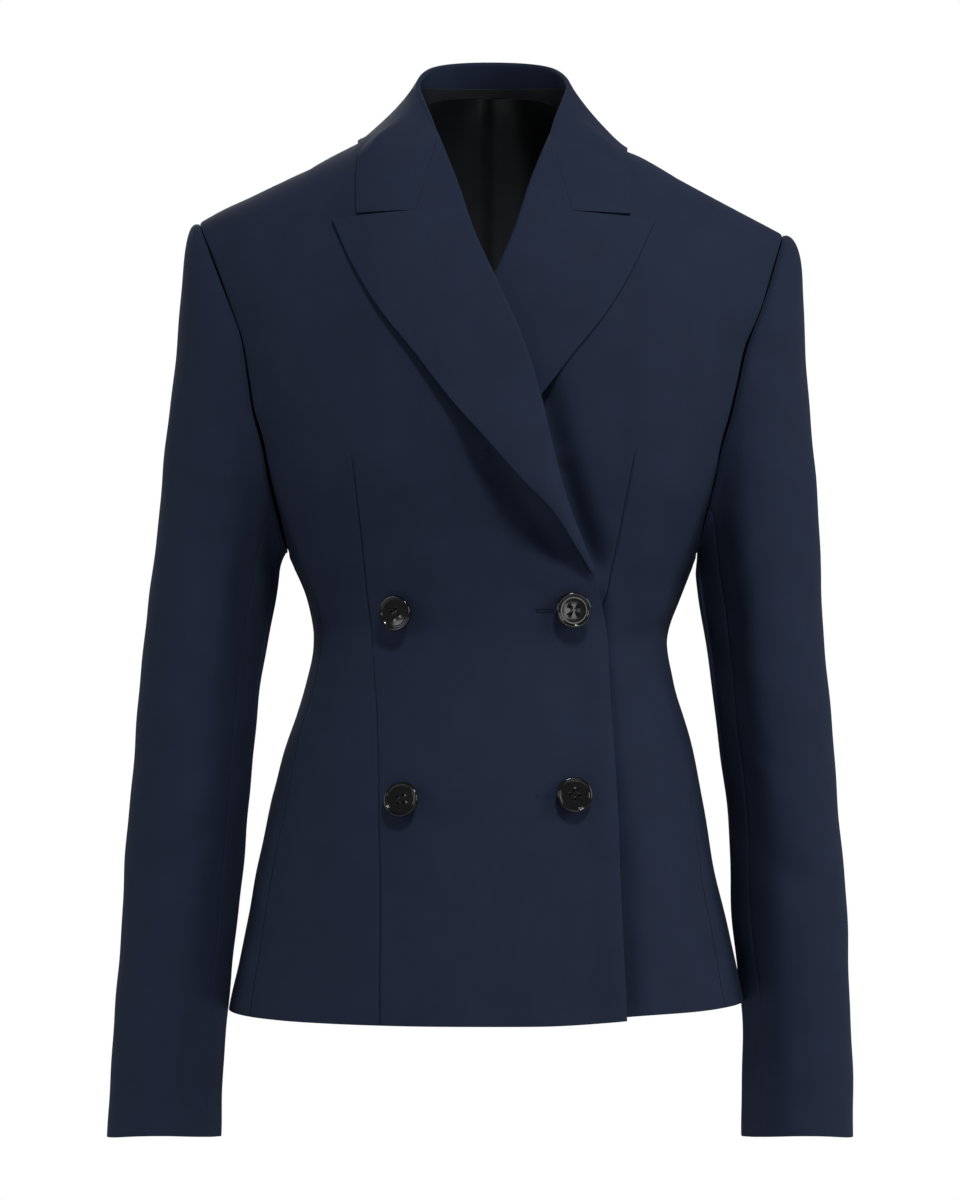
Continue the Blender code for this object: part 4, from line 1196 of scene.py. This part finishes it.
def make_thread(name):
    """Two pairs of strands that lie across the holes of a button."""
    form = bmesh.new()
    reach = HOLE_FROM_CENTRE * np.cos(np.radians(45))
    for x in (-reach - STRAND_APART, -reach + STRAND_APART, reach - STRAND_APART, reach + STRAND_APART):
        rings = []
        for along in np.linspace(-1, 1, STRAND_STEPS + 1):
            height = 0.00150 + 0.00030 * (1 - along**4) - 0.0012 * max(0, abs(along) - 0.85) / 0.15
            centre = (x, along * reach * 1.08, height)
            rings.append(ring(form, centre, (STRAND_RADIUS, 0, 0), (0, 0, STRAND_RADIUS)))
        skin(form, rings)
        form.faces.new(rings[0][::-1])
        form.faces.new(rings[-1])
    return formed(name, form, BUTTON_THREAD)


def make_buttonhole(name, height):
    """The corded lips of a buttonhole: a narrow loop of close stitches round the slit."""
    start, end = BUTTONHOLE
    form = bmesh.new()
    rings = []
    for step in range(LIP_STEPS):
        turn = 2 * np.pi * step / LIP_STEPS
        reach = abs(np.cos(turn)) ** 0.35 * np.sign(np.cos(turn))
        at = on_torso((start + end + (end - start) * reach) / 2, height + SLIT_HALF * np.sin(turn), 2)
        normal = torso_normal(*at)
        centre = over_front(*at) + normal * (SHELL / 2 + 0.0001)
        swell = LIP_RADIUS * (1 + 0.22 * np.cos(step * 2.1))
        outward = np.sign(np.sin(turn) + 1e-9)
        rings.append(ring(form, centre, swell * normal, (0, 0, swell * outward)))
    skin(form, rings + rings[:1])
    return formed(name, form, WOOL_CLOTH)


# -------- floor, light and camera
ROOM_LIGHT = 0.08  # what the room adds to cloth, where the backdrop itself is 1
ROOM_SHEEN = 0.28  # what polished surfaces mirror of the room
# Soft boxes: place, width, power in watts
LIGHTS = (
    ("key", (0.55, -2.0, 2.1), 0.5, 74),
    ("right fill", (2.35, -0.9, 0.5), 1.2, 35),
    ("left fill", (-2.35, -0.8, 0.2), 1.2, 20),
    ("back", (-0.6, 2.2, 1.0), 1.5, 30),
    ("glint", (1.1, -2.6, -0.4), 0.55, 5),
)
CAMERA_AT = (-0.0068, -3.0, -0.321)
LENS = 132.35
FLOOR = -0.95


def stage_and_light():
    bpy.ops.mesh.primitive_circle_add(vertices=96, radius=1.5, fill_type="NGON", location=(0, 0, FLOOR))
    floor = bpy.context.object
    floor.name = "floor"
    pale = Nodes("pale_floor")
    pale.shader.inputs["Base Color"].default_value = (0.85, 0.85, 0.85, 1)
    pale.shader.inputs["Roughness"].default_value = 0.8
    floor.data.materials.append(pale.material)
    world = bpy.data.worlds.new("studio")
    bpy.context.scene.world = world
    world.use_nodes = True
    tree = world.node_tree
    background = tree.nodes["Background"]
    background.inputs["Color"].default_value = (1, 1, 1, 1)
    ray = tree.nodes.new("ShaderNodeLightPath")
    mirrored = tree.nodes.new("ShaderNodeMapRange")
    mirrored.inputs["To Min"].default_value = ROOM_LIGHT
    mirrored.inputs["To Max"].default_value = ROOM_SHEEN
    strength = tree.nodes.new("ShaderNodeMapRange")
    tree.links.new(ray.outputs["Is Glossy Ray"], mirrored.inputs["Value"])
    tree.links.new(ray.outputs["Is Camera Ray"], strength.inputs["Value"])
    tree.links.new(mirrored.outputs["Result"], strength.inputs["To Min"])
    tree.links.new(strength.outputs["Result"], background.inputs["Strength"])
    for name, place, size, power in LIGHTS:
        light = bpy.data.lights.new(name, "AREA")
        light.size = size
        light.energy = power
        lamp = linked(name, light)
        lamp.location = place
        aim = Vector((0, 0, -0.3)) - Vector(place)
        lamp.rotation_euler = aim.to_track_quat("-Z", "Y").to_euler()
    camera = linked("camera", bpy.data.cameras.new("camera"))
    camera.location = CAMERA_AT
    camera.rotation_euler = (np.radians(90), 0, 0)
    camera.data.sensor_fit = "VERTICAL"
    camera.data.sensor_height = 36
    camera.data.lens = LENS
    bpy.context.scene.camera = camera
    bpy.context.scene.view_settings.view_transform = "Standard"


# -------- the blazer
def belongs(piece, node=None):
    """Parents a piece to the root body it moves with, and hides the CAD node it stands in for."""
    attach(piece, "root")
    if node:
        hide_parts(node)


# Pieces that come in a right and a left one: a group is made for the right side, then for the left
PAIRS = (
    {"front": make_front},
    {"lapel": make_lapel},
    {"side": make_side, "back": make_back, "top_sleeve": make_top_sleeve, "under_sleeve": make_under_sleeve},
)


def main():
    for group in PAIRS:
        for word, side in (("right", -1), ("left", 1)):
            for part, make in group.items():
                name = f"{part}_{word}"
                belongs(make(name, side), name)
    sections = collar_sections()
    belongs(cloth("collar", sections, inside=WOOL_CLOTH, gap=FINE_GAP), "collar")
    belongs(make_neck_facing(sections))
    belongs(make_lining(), "back_lining")
    for name in BUTTONS:
        belongs(make_button(name), name)
        thread = make_thread(name + "_thread")
        thread.matrix_world = button_place(name)
        belongs(thread)
    for where in ("waist", "skirt"):
        height = BUTTONS["button_left_" + where][1]
        belongs(make_buttonhole("buttonhole_" + where, height))
    stage_and_light()


main()
